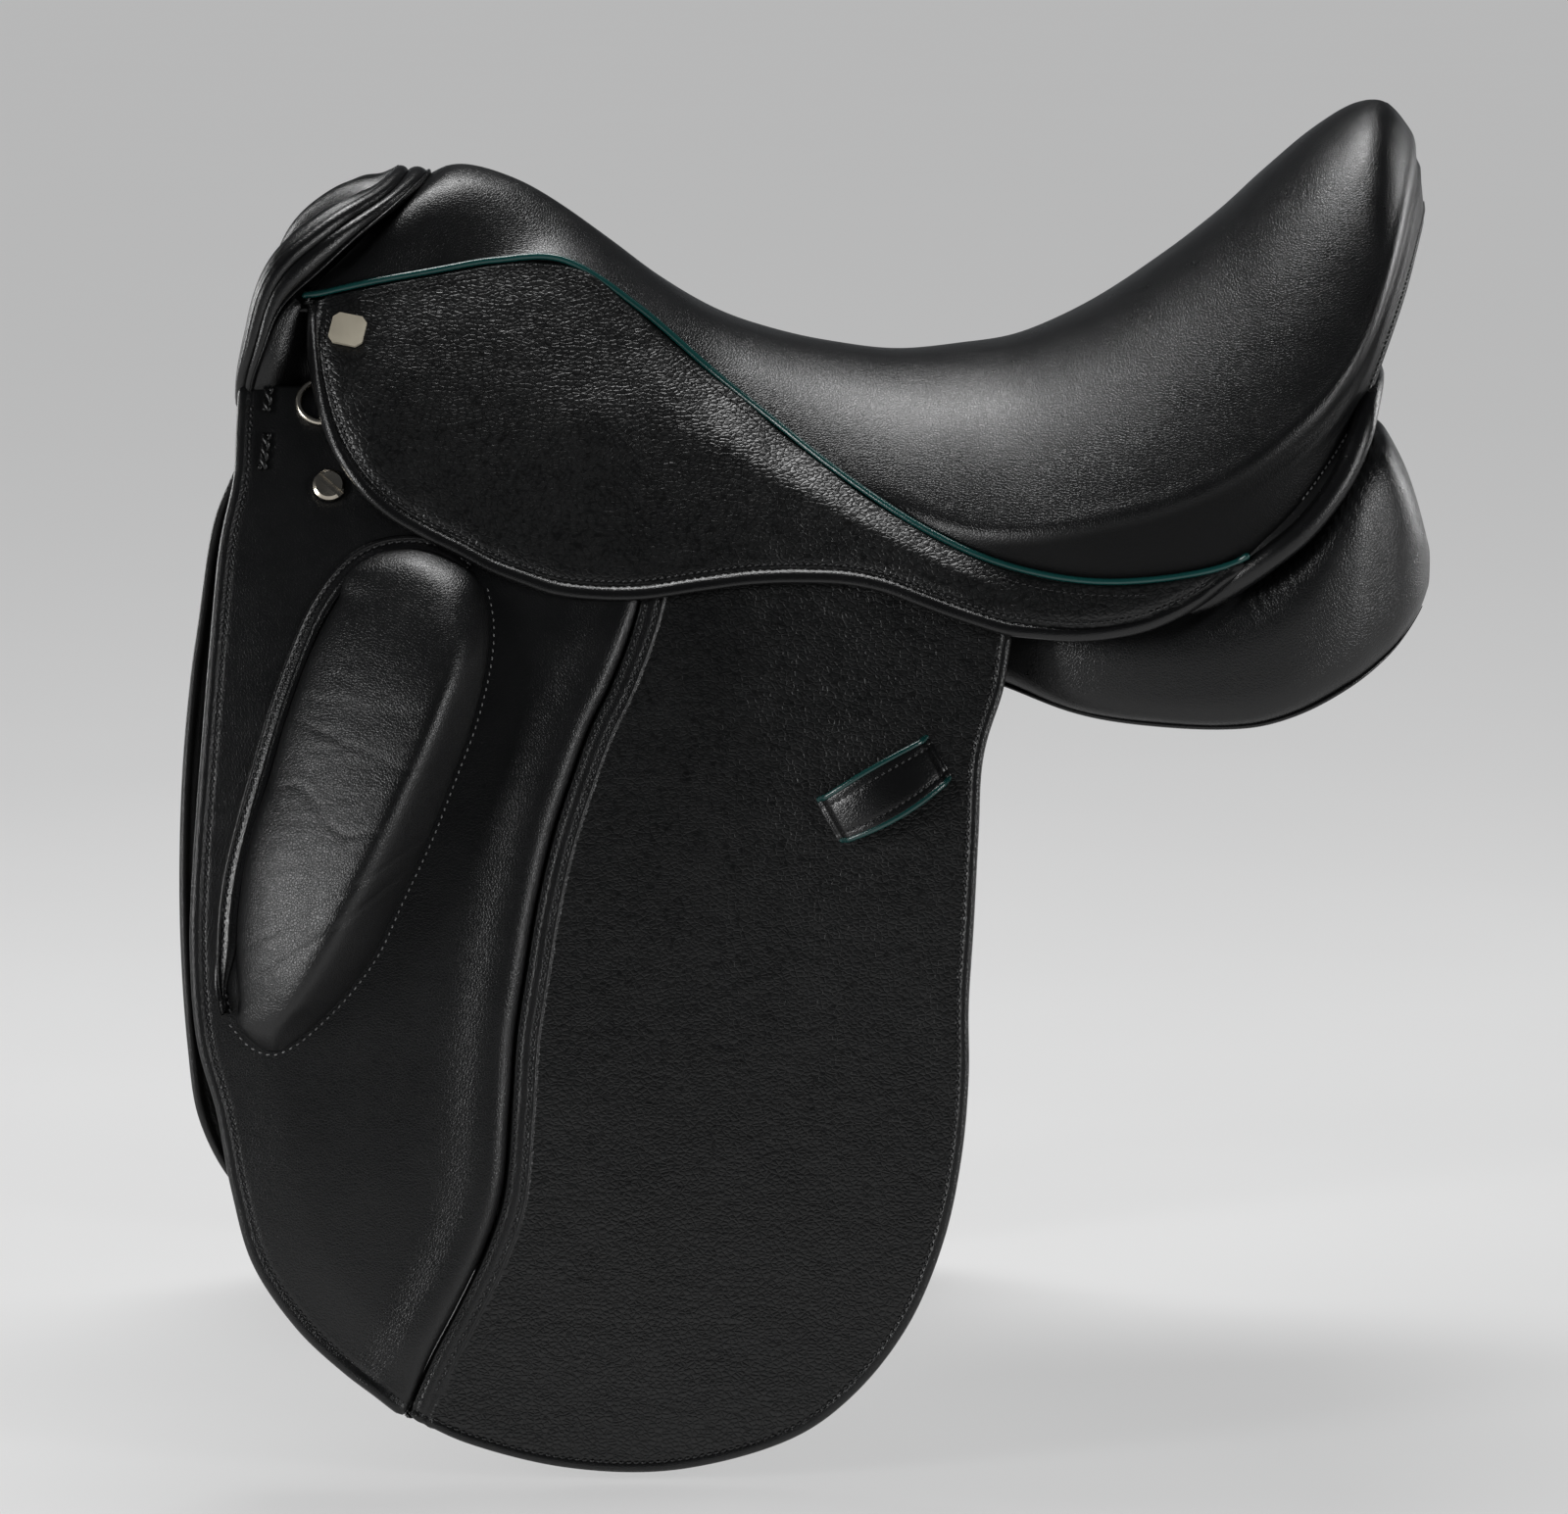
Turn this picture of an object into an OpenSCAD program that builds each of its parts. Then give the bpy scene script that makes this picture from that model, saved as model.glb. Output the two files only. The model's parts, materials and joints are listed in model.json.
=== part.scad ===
// Dressage saddle: sprung tree, dished seat, skirts, flaps with outside thigh
// blocks, sweat flaps, flocked panels, girth billets and stirrup bars.
// Millimetres. X runs from the head (-) to the cantle (+), Y is across
// (near side -), Z is up. The origin is in the channel between the panels.

/* [Leather] */
// Thickness of the flap leather
flap_t = 4; // [3:0.1:4.4]
// Thickness of the skirt leather
skirt_t = 3.2; // [2.5:0.1:3.6]
// Thickness of the sweat flap
sweat_t = 3; // [2:0.1:3.4]
// Thickness of a girth billet
billet_t = 3.4; // [3:0.1:3.8]
// Width of a girth billet
billet_w = 25; // [22:1:28]

/* [Seat] */
// Thickness of the seat cover
cover_t = 2.5; // [1.5:0.1:2.8]
// Depth of the seat foam on the middle line
foam_d = 17; // [10:1:17]

/* [Thigh block] */
// Height of the thigh block's ridge above the flap
block_h = 32; // [20:1:36]

/* [Keeper] */
// Clear height under the stirrup leather keeper
keeper_gap = 8; // [7:0.5:9]

/* [Stirrup bar] */
// Diameter of the stirrup bar
bar_d = 8; // [6:0.5:8.5]
// Thickness of the bar's back plate
bar_plate = 4; // [3:0.5:4]

/* [Rings and screws] */
// Radius of the D ring at the middle of its wire
ring_r = 9.5; // [8:0.5:10]
// Diameter of the D ring's wire
ring_wire = 2.8; // [2.2:0.1:3]
// Diameter of the slotted flap screw's head
screw_d = 13.5; // [11:0.5:15]

/* [Hidden] */

// ---- curves -------------------------------------------------------------
function sm(a) = let (b = max(0, min(1, a))) b*b*(3 - 2*b);
function seg(x, T, i = 0) = (i >= len(T) - 2 || x < T[i+1][0]) ? i : seg(x, T, i+1);
function slope(T, i, c) = let (a = max(0, i-1), b = min(len(T)-1, i+1))
  (T[b][c] - T[a][c])/(T[b][0] - T[a][0]);
// smooth curve through the rows of a table, column c against column 0
function cr(x, T, c = 1) = let (i = seg(x, T), h = T[i+1][0] - T[i][0],
  u = max(0, min(1, (x - T[i][0])/h)), m = slope(T, i, c)*h, n = slope(T, i+1, c)*h)
  T[i][c]*(2*u^3 - 3*u^2 + 1) + m*(u^3 - 2*u^2 + u) + T[i+1][c]*(3*u^2 - 2*u^3) + n*(u^3 - u^2);

// seat: height of the middle line along X
CREST = [[-200,168],[-175,174],[-147,176],[-134,177],[-113,171],[-97,162],[-84,153],
  [-67,140],[-50,127],[-34,117],[-17,110],[0,105],[21,101],[42,98],[55,98],[76,100],
  [92,102],[109,107],[126,115],[147,128],[168,143],[189,160],[210,180],[227,194],
  [240,202],[252,204],[260,200],[266,188],[269,167]];
// seam between seat and skirt: X, half width, height
SEAM = [[-194,60,128],[-163,52,134],[-143,47,137],[-123,43,140],[-102,41,141],
  [-82,42,137],[-66,45,125],[-49,49,111],[-33,55,98],[-16,64,86],[0,74,73],[16,85,62],
  [32,95,51],[48,104,42],[64,111,34],[80,118,27],[96,123,22],[112,128,19],[128,131,18],
  [144,132,18],[160,132,20],[187,130,25],[270,128,25]];
// tree rail: X, half width, height of the lower edge
RAIL = [[-195,66,66],[-150,62,68],[-120,58,70],[-60,57,70],[-20,57,62],[0,60,58],
  [50,80,38],[100,100,30],[150,108,36],[190,104,40],[255,100,44]];
// lower edge of the skirt along X
LOW = [[-197,100],[-193,83],[-188,70],[-183,61],[-174,50],[-162,40],[-149,33],[-135,27],
  [-122,20],[-108,15],[-95,11],[-78,9],[-59,9],[-36,12],[-13,15],[7,16],[26,16],[41,13],
  [56,8],[71,3],[91,-3],[103,-4],[119,-5],[134,-4],[149,-1],[164,5],[176,12],[186,20]];
// panel: X, inner and outer half width, top inner and outer, bottom inner and outer height
PANEL = [[-204,34,70,84,46,66,0],[-190,30,80,90,28,58,-20],[-150,30,82,78,26,42,-26],
  [-100,32,81,66,25,20,-26],[-50,33,82,58,25,8,-24],[0,34,84,52,22,2,-22],
  [50,36,92,47,12,-2,-28],[85,38,110,46,6,-4,-32],[120,40,126,46,4,-5,-36],
  [160,42,134,48,6,-4,-38],[190,43,137,54,12,0,-37],[212,45,137,64,26,6,-32],
  [234,47,132,76,50,14,-20],[252,51,120,74,58,26,-2],[263,58,102,58,48,38,18]];
// edges of the flap from its hinge line down: front edge, seam, rear edge
FRONT = [[-227,55],[-232,29],[-235,-7],[-238,-49],[-241,-95],[-242,-130],[-239,-166],
  [-231,-195],[-225,-226],[-216,-257],[-199,-282],[-180,-300],[-166,-310],[-157,-317]];
MID = [[-62,-1],[-71,-24],[-80,-42],[-89,-66],[-96,-88],[-102,-114],[-106,-138],
  [-110,-164],[-112,-192],[-115,-226],[-122,-249],[-134,-274],[-145,-295],[-154,-316]];
REAR = [[80,-51],[78,-81],[76,-118],[74,-150],[74,-179],[71,-212],[64,-245],[50,-279],
  [28,-308],[0,-328],[-45,-340],[-90,-339],[-130,-329],[-152,-319]];
// edges of the sweat flap from the top down
SWF = [[-238,26],[-240,0],[-243,-23],[-246,-59],[-247,-98],[-246,-134],[-243,-170],
  [-239,-197],[-229,-222],[-212,-240],[-190,-253],[-170,-260]];
SWR = [[58,20],[58,-5],[57,-30],[56,-62],[55,-98],[54,-134],[51,-168],[46,-196],
  [34,-222],[10,-244],[-30,-257],[-70,-263]];
// thigh block: height Z, front edge, rear edge, place of the ridge, share of the full height
BLOCK = [[27,-168,-142,0.6,0.12],[18,-182,-127,0.8,0.42],[3,-193,-122,0.84,0.74],
  [-15,-202,-122,0.84,0.92],[-40,-211,-128,0.8,1],[-61,-217,-136,0.77,1],
  [-86,-225,-146,0.73,0.98],[-111,-229,-158,0.69,0.92],[-132,-230,-168,0.62,0.8],
  [-148,-229,-180,0.56,0.6],[-159,-225,-191,0.5,0.36],[-167,-214,-203,0.5,0.12]];
// lines that the flap and the skirt fold along
function flap_line(x) = 57 - 0.343*(x + 227);
function skirt_line(x) = 129.5 - 0.3945*(x + 196);
// distance of the flap's outer face from the mid plane
function flapy(x, z) = 68 + 140*(1 - exp(-(91 - z)/210))
  + 22*sm((x + 40)/150)*exp(-(91 - z)/260);

// seat surface: u from head to cantle, t across
function seat(u, t, dz = 0) = let (a = abs(t), xf = -146 - 48*a^1.5, xr = 268 - 81*a^6,
  x = xf + (xr - xf)*u, zc = cr(x, CREST), zs = cr(x, SEAM, 2),
  p = 2.2 + 1.8*sm((x - 20)/200)) [x, cr(x, SEAM)*t, zc - (zc - zs)*a^p - dz];
// upper surface of the tree
function rail(u, t, dz = 0) = let (a = abs(t), xf = -140 - 44*a^1.5, xr = 246 - 66*a^6,
  x = xf + (xr - xf)*u, zc = cr(x, CREST) - 22.5, zs = cr(x, RAIL, 2))
  [x, cr(x, RAIL)*t, zc - (zc - zs)*a^2.2 - dz];
// gap between the flap and the skirt, wider in front over the ring
function over(x) = 2 + 3*sm((-150 - x)/25);
// inner face of the skirt at X and height Z
function skirty(x, z) = let (zs = cr(x, SEAM, 2) - 2, zl = cr(x, LOW),
  s = max(0, min(1, (zs - z)/(zs - zl))), ys = cr(x, SEAM) + 1.5, yl = flapy(x, zl) + over(x),
  b = 6*sm((x + 205)/60)*(1 - 0.7*sm((x + 50)/120)))
  max(ys + (yl - ys)*s + b*sin(180*s), flapy(x, z) + over(x));

// ---- solids from point grids --------------------------------------------
function vol(P, F) = let (d = [for (f = F) P[f[0]]*cross(P[f[1]], P[f[2]])])
  d*[for (f = F) 1];
module solid(P, F) polyhedron(points = P, faces = vol(P, F) > 0
  ? [for (f = F) [f[2], f[1], f[0]]] : F);
// closed slab between two n by m grids; open(i, j) leaves cells out
function slab_faces(n, m, open) = let (N = n*m,
  k = function (i, j) i >= 0 && j >= 0 && i < n-1 && j < m-1 && !open(i, j)) concat(
  [for (i = [0:n-2], j = [0:m-2]) if (k(i, j)) let (a = i*m+j, b = a+m, c = b+1, d = a+1)
    each [[a,b,c],[a,c,d],[N+a,N+c,N+b],[N+a,N+d,N+c]]],
  [for (i = [0:n-2], j = [0:m-2]) if (k(i, j)) let (a = i*m+j, b = a+m, c = b+1, d = a+1)
    each concat(
      k(i, j-1) ? [] : [[a,N+a,N+b],[a,N+b,b]],
      k(i, j+1) ? [] : [[d,N+c,N+d],[d,c,N+c]],
      k(i-1, j) ? [] : [[a,d,N+d],[a,N+d,N+a]],
      k(i+1, j) ? [] : [[b,N+c,c],[b,N+b,N+c]])]);
module slab(P, Q, open = function (i, j) false) {
  n = len(P); m = len(P[0]);
  solid([for (r = P) each r, for (r = Q) each r], slab_faces(n, m, open));
}
// closed loft through rings of equal size
module loft(R) {
  n = len(R); k = len(R[0]);
  solid([for (r = R) each r], concat(
    [for (i = [0:n-2], j = [0:k-1]) let (a = i*k+j, b = i*k+(j+1)%k,
      c = (i+1)*k+(j+1)%k, d = (i+1)*k+j) each [[a,b,c],[a,c,d]]],
    [for (j = [1:k-2]) [0,j+1,j]], [for (j = [1:k-2]) let (o = (n-1)*k) [o,o+j,o+j+1]]));
}
function unit(v) = v/norm(v);
// round cord along points
module cord(L, r, k = 8) {
  n = len(L);
  loft([for (i = [0:n-1]) let (d = unit(L[min(n-1,i+1)] - L[max(0,i-1)]),
    w = abs(d[1]) > 0.8 ? [0,0,1] : [0,1,0], e = unit(cross(d, w)), f = cross(d, e))
    [for (j = [0:k-1]) L[i] + r*cos(360*j/k)*e + r*sin(360*j/k)*f]]);
}
module both() { children(); mirror([0,1,0]) children(); }
module far() mirror([0,1,0]) children();
// near side point on the flap, o outside its outer face
function onflap(x, z, o) = [x, -(flapy(x, z) + o), z];
// steps across a range
function steps(a, b, n) = [for (i = [0:n-1]) a + (b - a)*i/(n - 1)];

// ---- tree, seat and head ------------------------------------------------
U = [0,0.05,0.1,0.16,0.22,0.28,0.34,0.4,0.46,0.52,0.58,0.64,0.7,0.76,0.82,0.87,0.91,0.94,0.965,0.985,1];
TT = [-1,-0.93,-0.82,-0.66,-0.46,-0.23,0,0.23,0.46,0.66,0.82,0.93,1];
module tree() color("#8a6a44")
  slab([for (u = U) [for (t = TT) rail(u, t)]], [for (u = U) [for (t = TT) rail(u, t, 8.5)]],
    function (i, j) i >= 6 && i <= 12 && j >= 4 && j <= 7);
// steel plate bent to the underside of the tree's head
HU = [0,0.05,0.1];
HT = [-0.93,-0.82,-0.66,-0.46,-0.23,0,0.23,0.46,0.66,0.82,0.93];
module head_plate() color("#7c8085")
  slab([for (u = HU) [for (t = HT) rail(u, t, 9.4)]], [for (u = HU) [for (t = HT) rail(u, t, 13)]]);
module head_rivets() color("#9a9da1") both() for (u = [0.04,0.07]) let (q = rail(u, -0.2))
  translate([q[0], q[1], q[2] - 11.6]) cylinder(d = 6, h = 11.4, $fn = 24);
module tree_springs() color("#6d7175") both()
  slab([for (i = [3:14]) [rail(U[i], -0.82, 10.4), rail(U[i], -0.66, 10.4)]],
       [for (i = [3:14]) [rail(U[i], -0.82, 12), rail(U[i], -0.66, 12)]]);
module seat_web() color("#c9c2b2")
  slab([for (i = [4:14]) [for (j = [4:8]) rail(U[i], TT[j], -1.7)]],
       [for (i = [4:14]) [for (j = [4:8]) rail(U[i], TT[j], -0.4)]]);
module seat_foam() color("#d8c37a")
  slab([for (i = [1:18]) [for (j = [1:11]) seat(U[i], TT[j], cover_t + 0.5)]],
       [for (i = [1:18]) [for (j = [1:11]) seat(U[i], TT[j], cover_t + 0.5 + foam_d*(1 - abs(TT[j])^8))]]);
module seat_cover() color("#1c1c1e")
  slab([for (u = U) [for (t = TT) seat(u, t)]], [for (u = U) [for (t = TT) seat(u, t, cover_t)]]);
module seat_piping() color("#146e64") both()
  cord([for (u = steps(0.02, 0.97, 34)) let (q = seat(u, 1)) [q[0], -q[1] - 2.4, q[2] + 1.4]], 1.4, 6);
// back of the cantle below its rim
module cantle_facing() color("#202022")
  slab([for (t = steps(-0.8, 0.8, 11)) let (q = seat(1, t)) [[q[0]-4, q[1]*0.97, q[2]-6], [q[0]-8, q[1]*0.95, (q[2]+88)/2], [q[0]-14, q[1]*0.92, 92]]],
       [for (t = steps(-0.8, 0.8, 11)) let (q = seat(1, t)) [[q[0]-7, q[1]*0.97, q[2]-6], [q[0]-11, q[1]*0.95, (q[2]+88)/2], [q[0]-17, q[1]*0.92, 92]]]);
// thick roll between the seat side and the rear of the panel
module rear_roll() color("#1a1a1c") both()
  cord([[192,-133,22],[202,-134,30],[212,-134,37],[222,-132,48],[231,-129,60],[237,-125,74],[239,-119,88]], 4);
// edge roll round the front of the head
HEAD = [[-228,-66,90],[-224,-64,102],[-219,-61,120],[-213,-56,135],[-204,-49,145],[-192,-41,154],[-177,-30,163],[-165,-17,170],[-159,0,173]];
module pommel_roll() color("#1a1a1c")
  cord([for (p = HEAD) p, for (i = [7:-1:0]) [HEAD[i][0], -HEAD[i][1], HEAD[i][2]]], 5, 10);
// leather under the arch of the head
GU = [-0.06,-0.03,0,0.05,0.1,0.14];
GT = [-0.8,-0.66,-0.46,-0.23,0,0.23,0.46,0.66,0.8];
module gullet_lining() color("#232325")
  slab([for (u = GU) [for (t = GT) rail(u, t, 14.4)]], [for (u = GU) [for (t = GT) rail(u, t, 17)]]);

// ---- panels -------------------------------------------------------------
function pw(c) = sign(c)*abs(c)^0.6;
// panel section point: angle q, inset d
function panel_pt(x, q, d) = let (R = [for (c = [1:6]) cr(x, PANEL, c)],
  ym = (R[0] + R[1])/2, a = pw(cos(q)), b = pw(sin(q)), f = (a + 1)/2, g = (b + 1)/2,
  y = R[0] + (R[1] - R[0])*f, zb = R[4] + (R[5] - R[4])*f, zt = R[2] + (R[3] - R[2])*f,
  z = zb + (zt - zb)*g, zm = (R[2] + R[3] + R[4] + R[5])/4,
  k = 1 - d/max(8, norm([y - ym, z - zm]))) [x, -(ym + (y - ym)*k), zm + (z - zm)*k];
PX = [-204,-197,-188,-165,-135,-100,-60,-20,20,55,85,110,140,170,195,212,228,240,250,258,263];
module panel_cover() slab([for (x = PX) [for (q = steps(150, 390, 13)) panel_pt(x, q, 0)]],
  [for (x = PX) [for (q = steps(150, 390, 13)) panel_pt(x, q, 2.2)]]);
module left_panel() color("#1d1d1f") panel_cover();
module right_panel() color("#1d1d1f") far() panel_cover();
module panel_flock() color("#e6e0cf") both()
  loft([for (i = [1:len(PX)-2]) [for (j = [0:11]) panel_pt(PX[i], 30*j, 3.4)]]);

// ---- sweat flaps and billets --------------------------------------------
module sweat() slab([for (i = [0:11]) [for (f = steps(0, 1, 9)) let (q = SWF[i] + (SWR[i] - SWF[i])*f) onflap(q[0], q[1], -15)]],
  [for (i = [0:11]) [for (f = steps(0, 1, 9)) let (q = SWF[i] + (SWR[i] - SWF[i])*f) onflap(q[0], q[1], -15 - sweat_t)]]);
module left_sweat_flap() color("#1b1b1d") sweat();
module right_sweat_flap() color("#1b1b1d") far() sweat();
BZ = [14,0,-25,-55,-90,-130,-175,-225,-270,-288,-296];
// girth billet hanging at x0 with punched holes
module billet(x0) difference() {
  slab([for (z = BZ) let (w = billet_w/2*(z < -280 ? 0.5 + (z + 296)/32 : 1)) [for (x = [-w, 0, w]) onflap(x0 + x, z, -7.4)]],
       [for (z = BZ) let (w = billet_w/2*(z < -280 ? 0.5 + (z + 296)/32 : 1)) [for (x = [-w, 0, w]) onflap(x0 + x, z, -7.4 - billet_t)]]);
  for (z = [-150:-24:-270]) translate([x0, -150, z]) rotate([90,0,0]) cylinder(d = 5.5, h = 60, $fn = 24);
}
module left_front_billet() color("#2a211b") billet(-104);
module left_rear_billet() color("#2a211b") billet(-12);
module right_front_billet() color("#2a211b") far() billet(-104);
module right_rear_billet() color("#2a211b") far() billet(-12);
// webs from the rail down to each billet
module web(x0, y0, z0) slab([for (f = steps(0, 1, 6)) let (q = onflap(x0, 18, -7.8)) [for (x = [-12, 12]) [x0 + x, y0 + (q[1] - y0)*f - 3*sin(180*f), z0 + (q[2] - z0)*f]]],
  [for (f = steps(0, 1, 6)) let (q = onflap(x0, 18, -7.8)) [for (x = [-12, 12]) [x0 + x, y0 + 2.2 + (q[1] - y0)*f - 3*sin(180*f), z0 + (q[2] - z0)*f]]]);
module billet_webs() color("#b9b09c") both() { web(-104, -59, 56); web(-12, -63, 56); }

// ---- stirrup bars -------------------------------------------------------
BX0 = -140; BX1 = -78; BZ0 = 66; BY = -79;
module bar() difference() {
  union() {
    translate([BX0, -62 - bar_plate, 54]) cube([74, bar_plate, 24]);
    translate([BX0, BY, BZ0 - 5]) cube([9, -BY - 62 - bar_plate + 0.5, 10]);
    translate([BX0, BY, BZ0]) rotate([0,90,0]) cylinder(d = bar_d, h = BX1 - BX0 - 7, $fn = 40);
    translate([BX1 - 8, BY - 3.2, BZ0 - 4]) cube([8, 3, 8]);
    translate([BX1, BY - 0.2, BZ0]) rotate([90,0,0]) cylinder(d = 8, h = 3, $fn = 40);
  }
  translate([BX1, BY + 5, BZ0]) rotate([90,0,0]) cylinder(d = 3, h = 14, $fn = 32);
  for (x = [-130,-84]) translate([x, -40, 72]) rotate([90,0,0]) cylinder(d = 5, h = 40, $fn = 32);
}
module left_stirrup_bar() color("#b6b8ba") bar();
module right_stirrup_bar() color("#b6b8ba") far() bar();
module bar_rivets() color("#a2a4a6") both() for (x = [-130,-84]) {
  translate([x, -48, 72]) rotate([90,0,0]) cylinder(d = 5, h = 18.2, $fn = 32);
  translate([x, -66.1, 72]) rotate([90,0,0]) cylinder(d = 9, h = 1.6, $fn = 32);
}
module bar_catch_pins() color("#8f9194") both() translate([BX1, -75.4, BZ0]) rotate([90,0,0]) cylinder(d = 3, h = 7.2, $fn = 32);
module catch_piece() difference() {
  union() {
    translate([BX1, BY + 3, BZ0]) rotate([90,0,0]) cylinder(d = 8, h = 2.8, $fn = 40);
    translate([BX1, BY + 0.2, BZ0 - 4]) cube([13, 2.8, 7]);
    translate([BX1 + 13, BY + 3, BZ0 - 0.5]) rotate([90,0,0]) cylinder(d = 7, h = 2.8, $fn = 40);
  }
  translate([BX1, BY + 5, BZ0]) rotate([90,0,0]) cylinder(d = 3.12, h = 14, $fn = 32);
}
module left_bar_catch() color("#b6b8ba") catch_piece();
module right_bar_catch() color("#b6b8ba") far() catch_piece();

// ---- skirts -------------------------------------------------------------
SX1 = [-182,-172,-160,-145,-130,-115,-100,-85,-70,-55,-40,-25,-10,5,20,35,50,65,80,95,110,125,138,150,162,174,185];
SX2 = [-196,-190,-182,-172,-160,-145,-130,-115,-100,-85,-70,-55,-40,-25,-10,5,20,35,50,65,80,95,110,122,130];
function skirt_row(x, za, zb, o, n = 6) = [for (f = steps(0, 1, n)) let (z = za + (zb - za)*f) [x, -(skirty(x, z) + o), z]];
function top_z(x) = cr(x, SEAM, 2) - 2;
module skirt_fixed() slab([for (x = SX1) skirt_row(x, top_z(x), max(cr(x, LOW), skirt_line(x) + 2), skirt_t)],
  [for (x = SX1) skirt_row(x, top_z(x), max(cr(x, LOW), skirt_line(x) + 2), 0)]);
module skirt_moving() slab([for (x = SX2) skirt_row(x, min(top_z(x), skirt_line(x) - 2.6), cr(x, LOW), skirt_t, 7)],
  [for (x = SX2) skirt_row(x, min(top_z(x), skirt_line(x) - 2.6), cr(x, LOW), 0, 7)]);
module left_skirt_top() color("#1f1f21") skirt_fixed();
module right_skirt_top() color("#1f1f21") far() skirt_fixed();
module left_skirt() color("#1f1f21") skirt_moving();
module right_skirt() color("#1f1f21") far() skirt_moving();
// plain plate with cut corners on the skirt's front corner
module plate() translate([-181, -(skirty(-181, 114.3) + skirt_t + 0.8), 114.3]) rotate([60,0,0]) rotate([0,0,-12]) intersection() {
  translate([-7.2,-6.8,0]) cube([14.4,13.6,1.6]);
  rotate([0,0,45]) translate([-8.2,-8.2,-1]) cube([16.4,16.4,4]);
}
module left_nameplate() color("#b9a77a") plate();
module right_nameplate() color("#b9a77a") far() plate();

// ---- flaps --------------------------------------------------------------
FT = [[-226,88],[-205,89],[-180,90],[-152,91],[-147,48],[-120,48],[-93,48],[-57,48],[-51,79],[-30,68],[0,50],[30,32],[60,14],[76,6],[84,2],[89,-1],[92,-3]];
FB = [[80,-48],[84,-39],[88,-26],[90,-14],[93,-5]];
function ft_low(x) = x <= 80 ? flap_line(x) + 1.5 : max(flap_line(x) + 1.5, lookup(x, FB));
module flap_fixed() slab([for (p = FT) [for (f = steps(0, 1, 6)) onflap(p[0], p[1] + (ft_low(p[0]) - p[1])*f, 0)]],
  [for (p = FT) [for (f = steps(0, 1, 6)) onflap(p[0], p[1] + (ft_low(p[0]) - p[1])*f, -flap_t)]]);
module left_flap_top() color("#1e1e20") flap_fixed();
module right_flap_top() color("#1e1e20") far() flap_fixed();
// leather between two edges, o outside the flap face and d thick
module ruled(A, B, n, o, d) slab(
  [for (i = [0:len(A)-1]) [for (f = steps(0, 1, n)) let (q = A[i] + (B[i] - A[i])*f) onflap(q[0], q[1], o)]],
  [for (i = [0:len(A)-1]) [for (f = steps(0, 1, n)) let (q = A[i] + (B[i] - A[i])*f) onflap(q[0], q[1], o - d)]]);
module left_flap_front() color("#1c1c1e") ruled(FRONT, MID, 8, 0, flap_t);
module right_flap_front() color("#1c1c1e") far() ruled(FRONT, MID, 8, 0, flap_t);
MID2 = [for (q = MID) [q[0] + 0.6, q[1]]];
module left_flap_rear() color("#1f1f21") ruled(MID2, REAR, 9, 0, flap_t);
module right_flap_rear() color("#1f1f21") far() ruled(MID2, REAR, 9, 0, flap_t);
WA = [for (i = [0:12]) [MID[i][0] - 1, MID[i][1]]];
WB = [for (i = [0:12]) [MID[i][0] + 8, MID[i][1] - 2]];
module left_flap_welt() color("#19191b") ruled(WA, WB, 2, 2.2, 1.4);
module right_flap_welt() color("#19191b") far() ruled(WA, WB, 2, 2.2, 1.4);

// ---- thigh blocks -------------------------------------------------------
BB = [0,0.1,0.28,0.48,0.66,0.78,0.88,0.96,1];
function rise(b, r) = b < r ? (b/r)^0.75 : ((1 - b)/(1 - r))^0.65;
function block_pt(i, b, d) = let (k = BLOCK[i], x = k[1] + (k[2] - k[1])*b)
  onflap(x, k[0], 3.4 + block_h*k[4]*rise(b, k[3]) - d);
module block_skin() slab([for (i = [0:11]) [for (b = BB) block_pt(i, b, 0)]],
  [for (i = [0:11]) [for (b = BB) block_pt(i, b, 2.2)]]);
module block_fill() slab([for (i = [1:10]) [for (j = [1:7]) block_pt(i, BB[j], 2.8)]],
  [for (i = [1:10]) [for (j = [1:7]) let (k = BLOCK[i]) onflap(k[1] + (k[2] - k[1])*BB[j], k[0], 1)]]);
module left_block_cover() color("#1b1b1d") block_skin();
module right_block_cover() color("#1b1b1d") far() block_skin();
module left_block_core() color("#d9cfa8") block_fill();
module right_block_core() color("#d9cfa8") far() block_fill();

// ---- stirrup leather keepers --------------------------------------------
KA = [19.5,-77.5]; KB = [62.5,-52.5]; KW = 8.5;
function keep_o(f) = 0.8 + keeper_gap*sm(f/0.16)*sm((1 - f)/0.16);
function keep_pt(f, w, o) = let (d = unit(KB - KA), q = KA + (KB - KA)*f + w*[-d[1], d[0]]) onflap(q[0], q[1], o);
KS = [0,0.06,0.1,0.16,0.3,0.5,0.7,0.84,0.9,0.94,1];
module keeper() slab([for (f = KS) [for (w = [-KW, 0, KW]) keep_pt(f, w, keep_o(f) + 2.6)]],
  [for (f = KS) [for (w = [-KW, 0, KW]) keep_pt(f, w, keep_o(f))]]);
module left_keeper() color("#1e1e20") keeper();
module right_keeper() color("#1e1e20") far() keeper();
module keeper_cords() for (s = [-1,1]) cord([for (f = steps(0.04, 0.96, 9)) keep_pt(f, s*(KW + 1.6), keep_o(f) + 1.6)], 1.1, 6);
module left_keeper_piping() color("#146e64") keeper_cords();
module right_keeper_piping() color("#146e64") far() keeper_cords();

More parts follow.
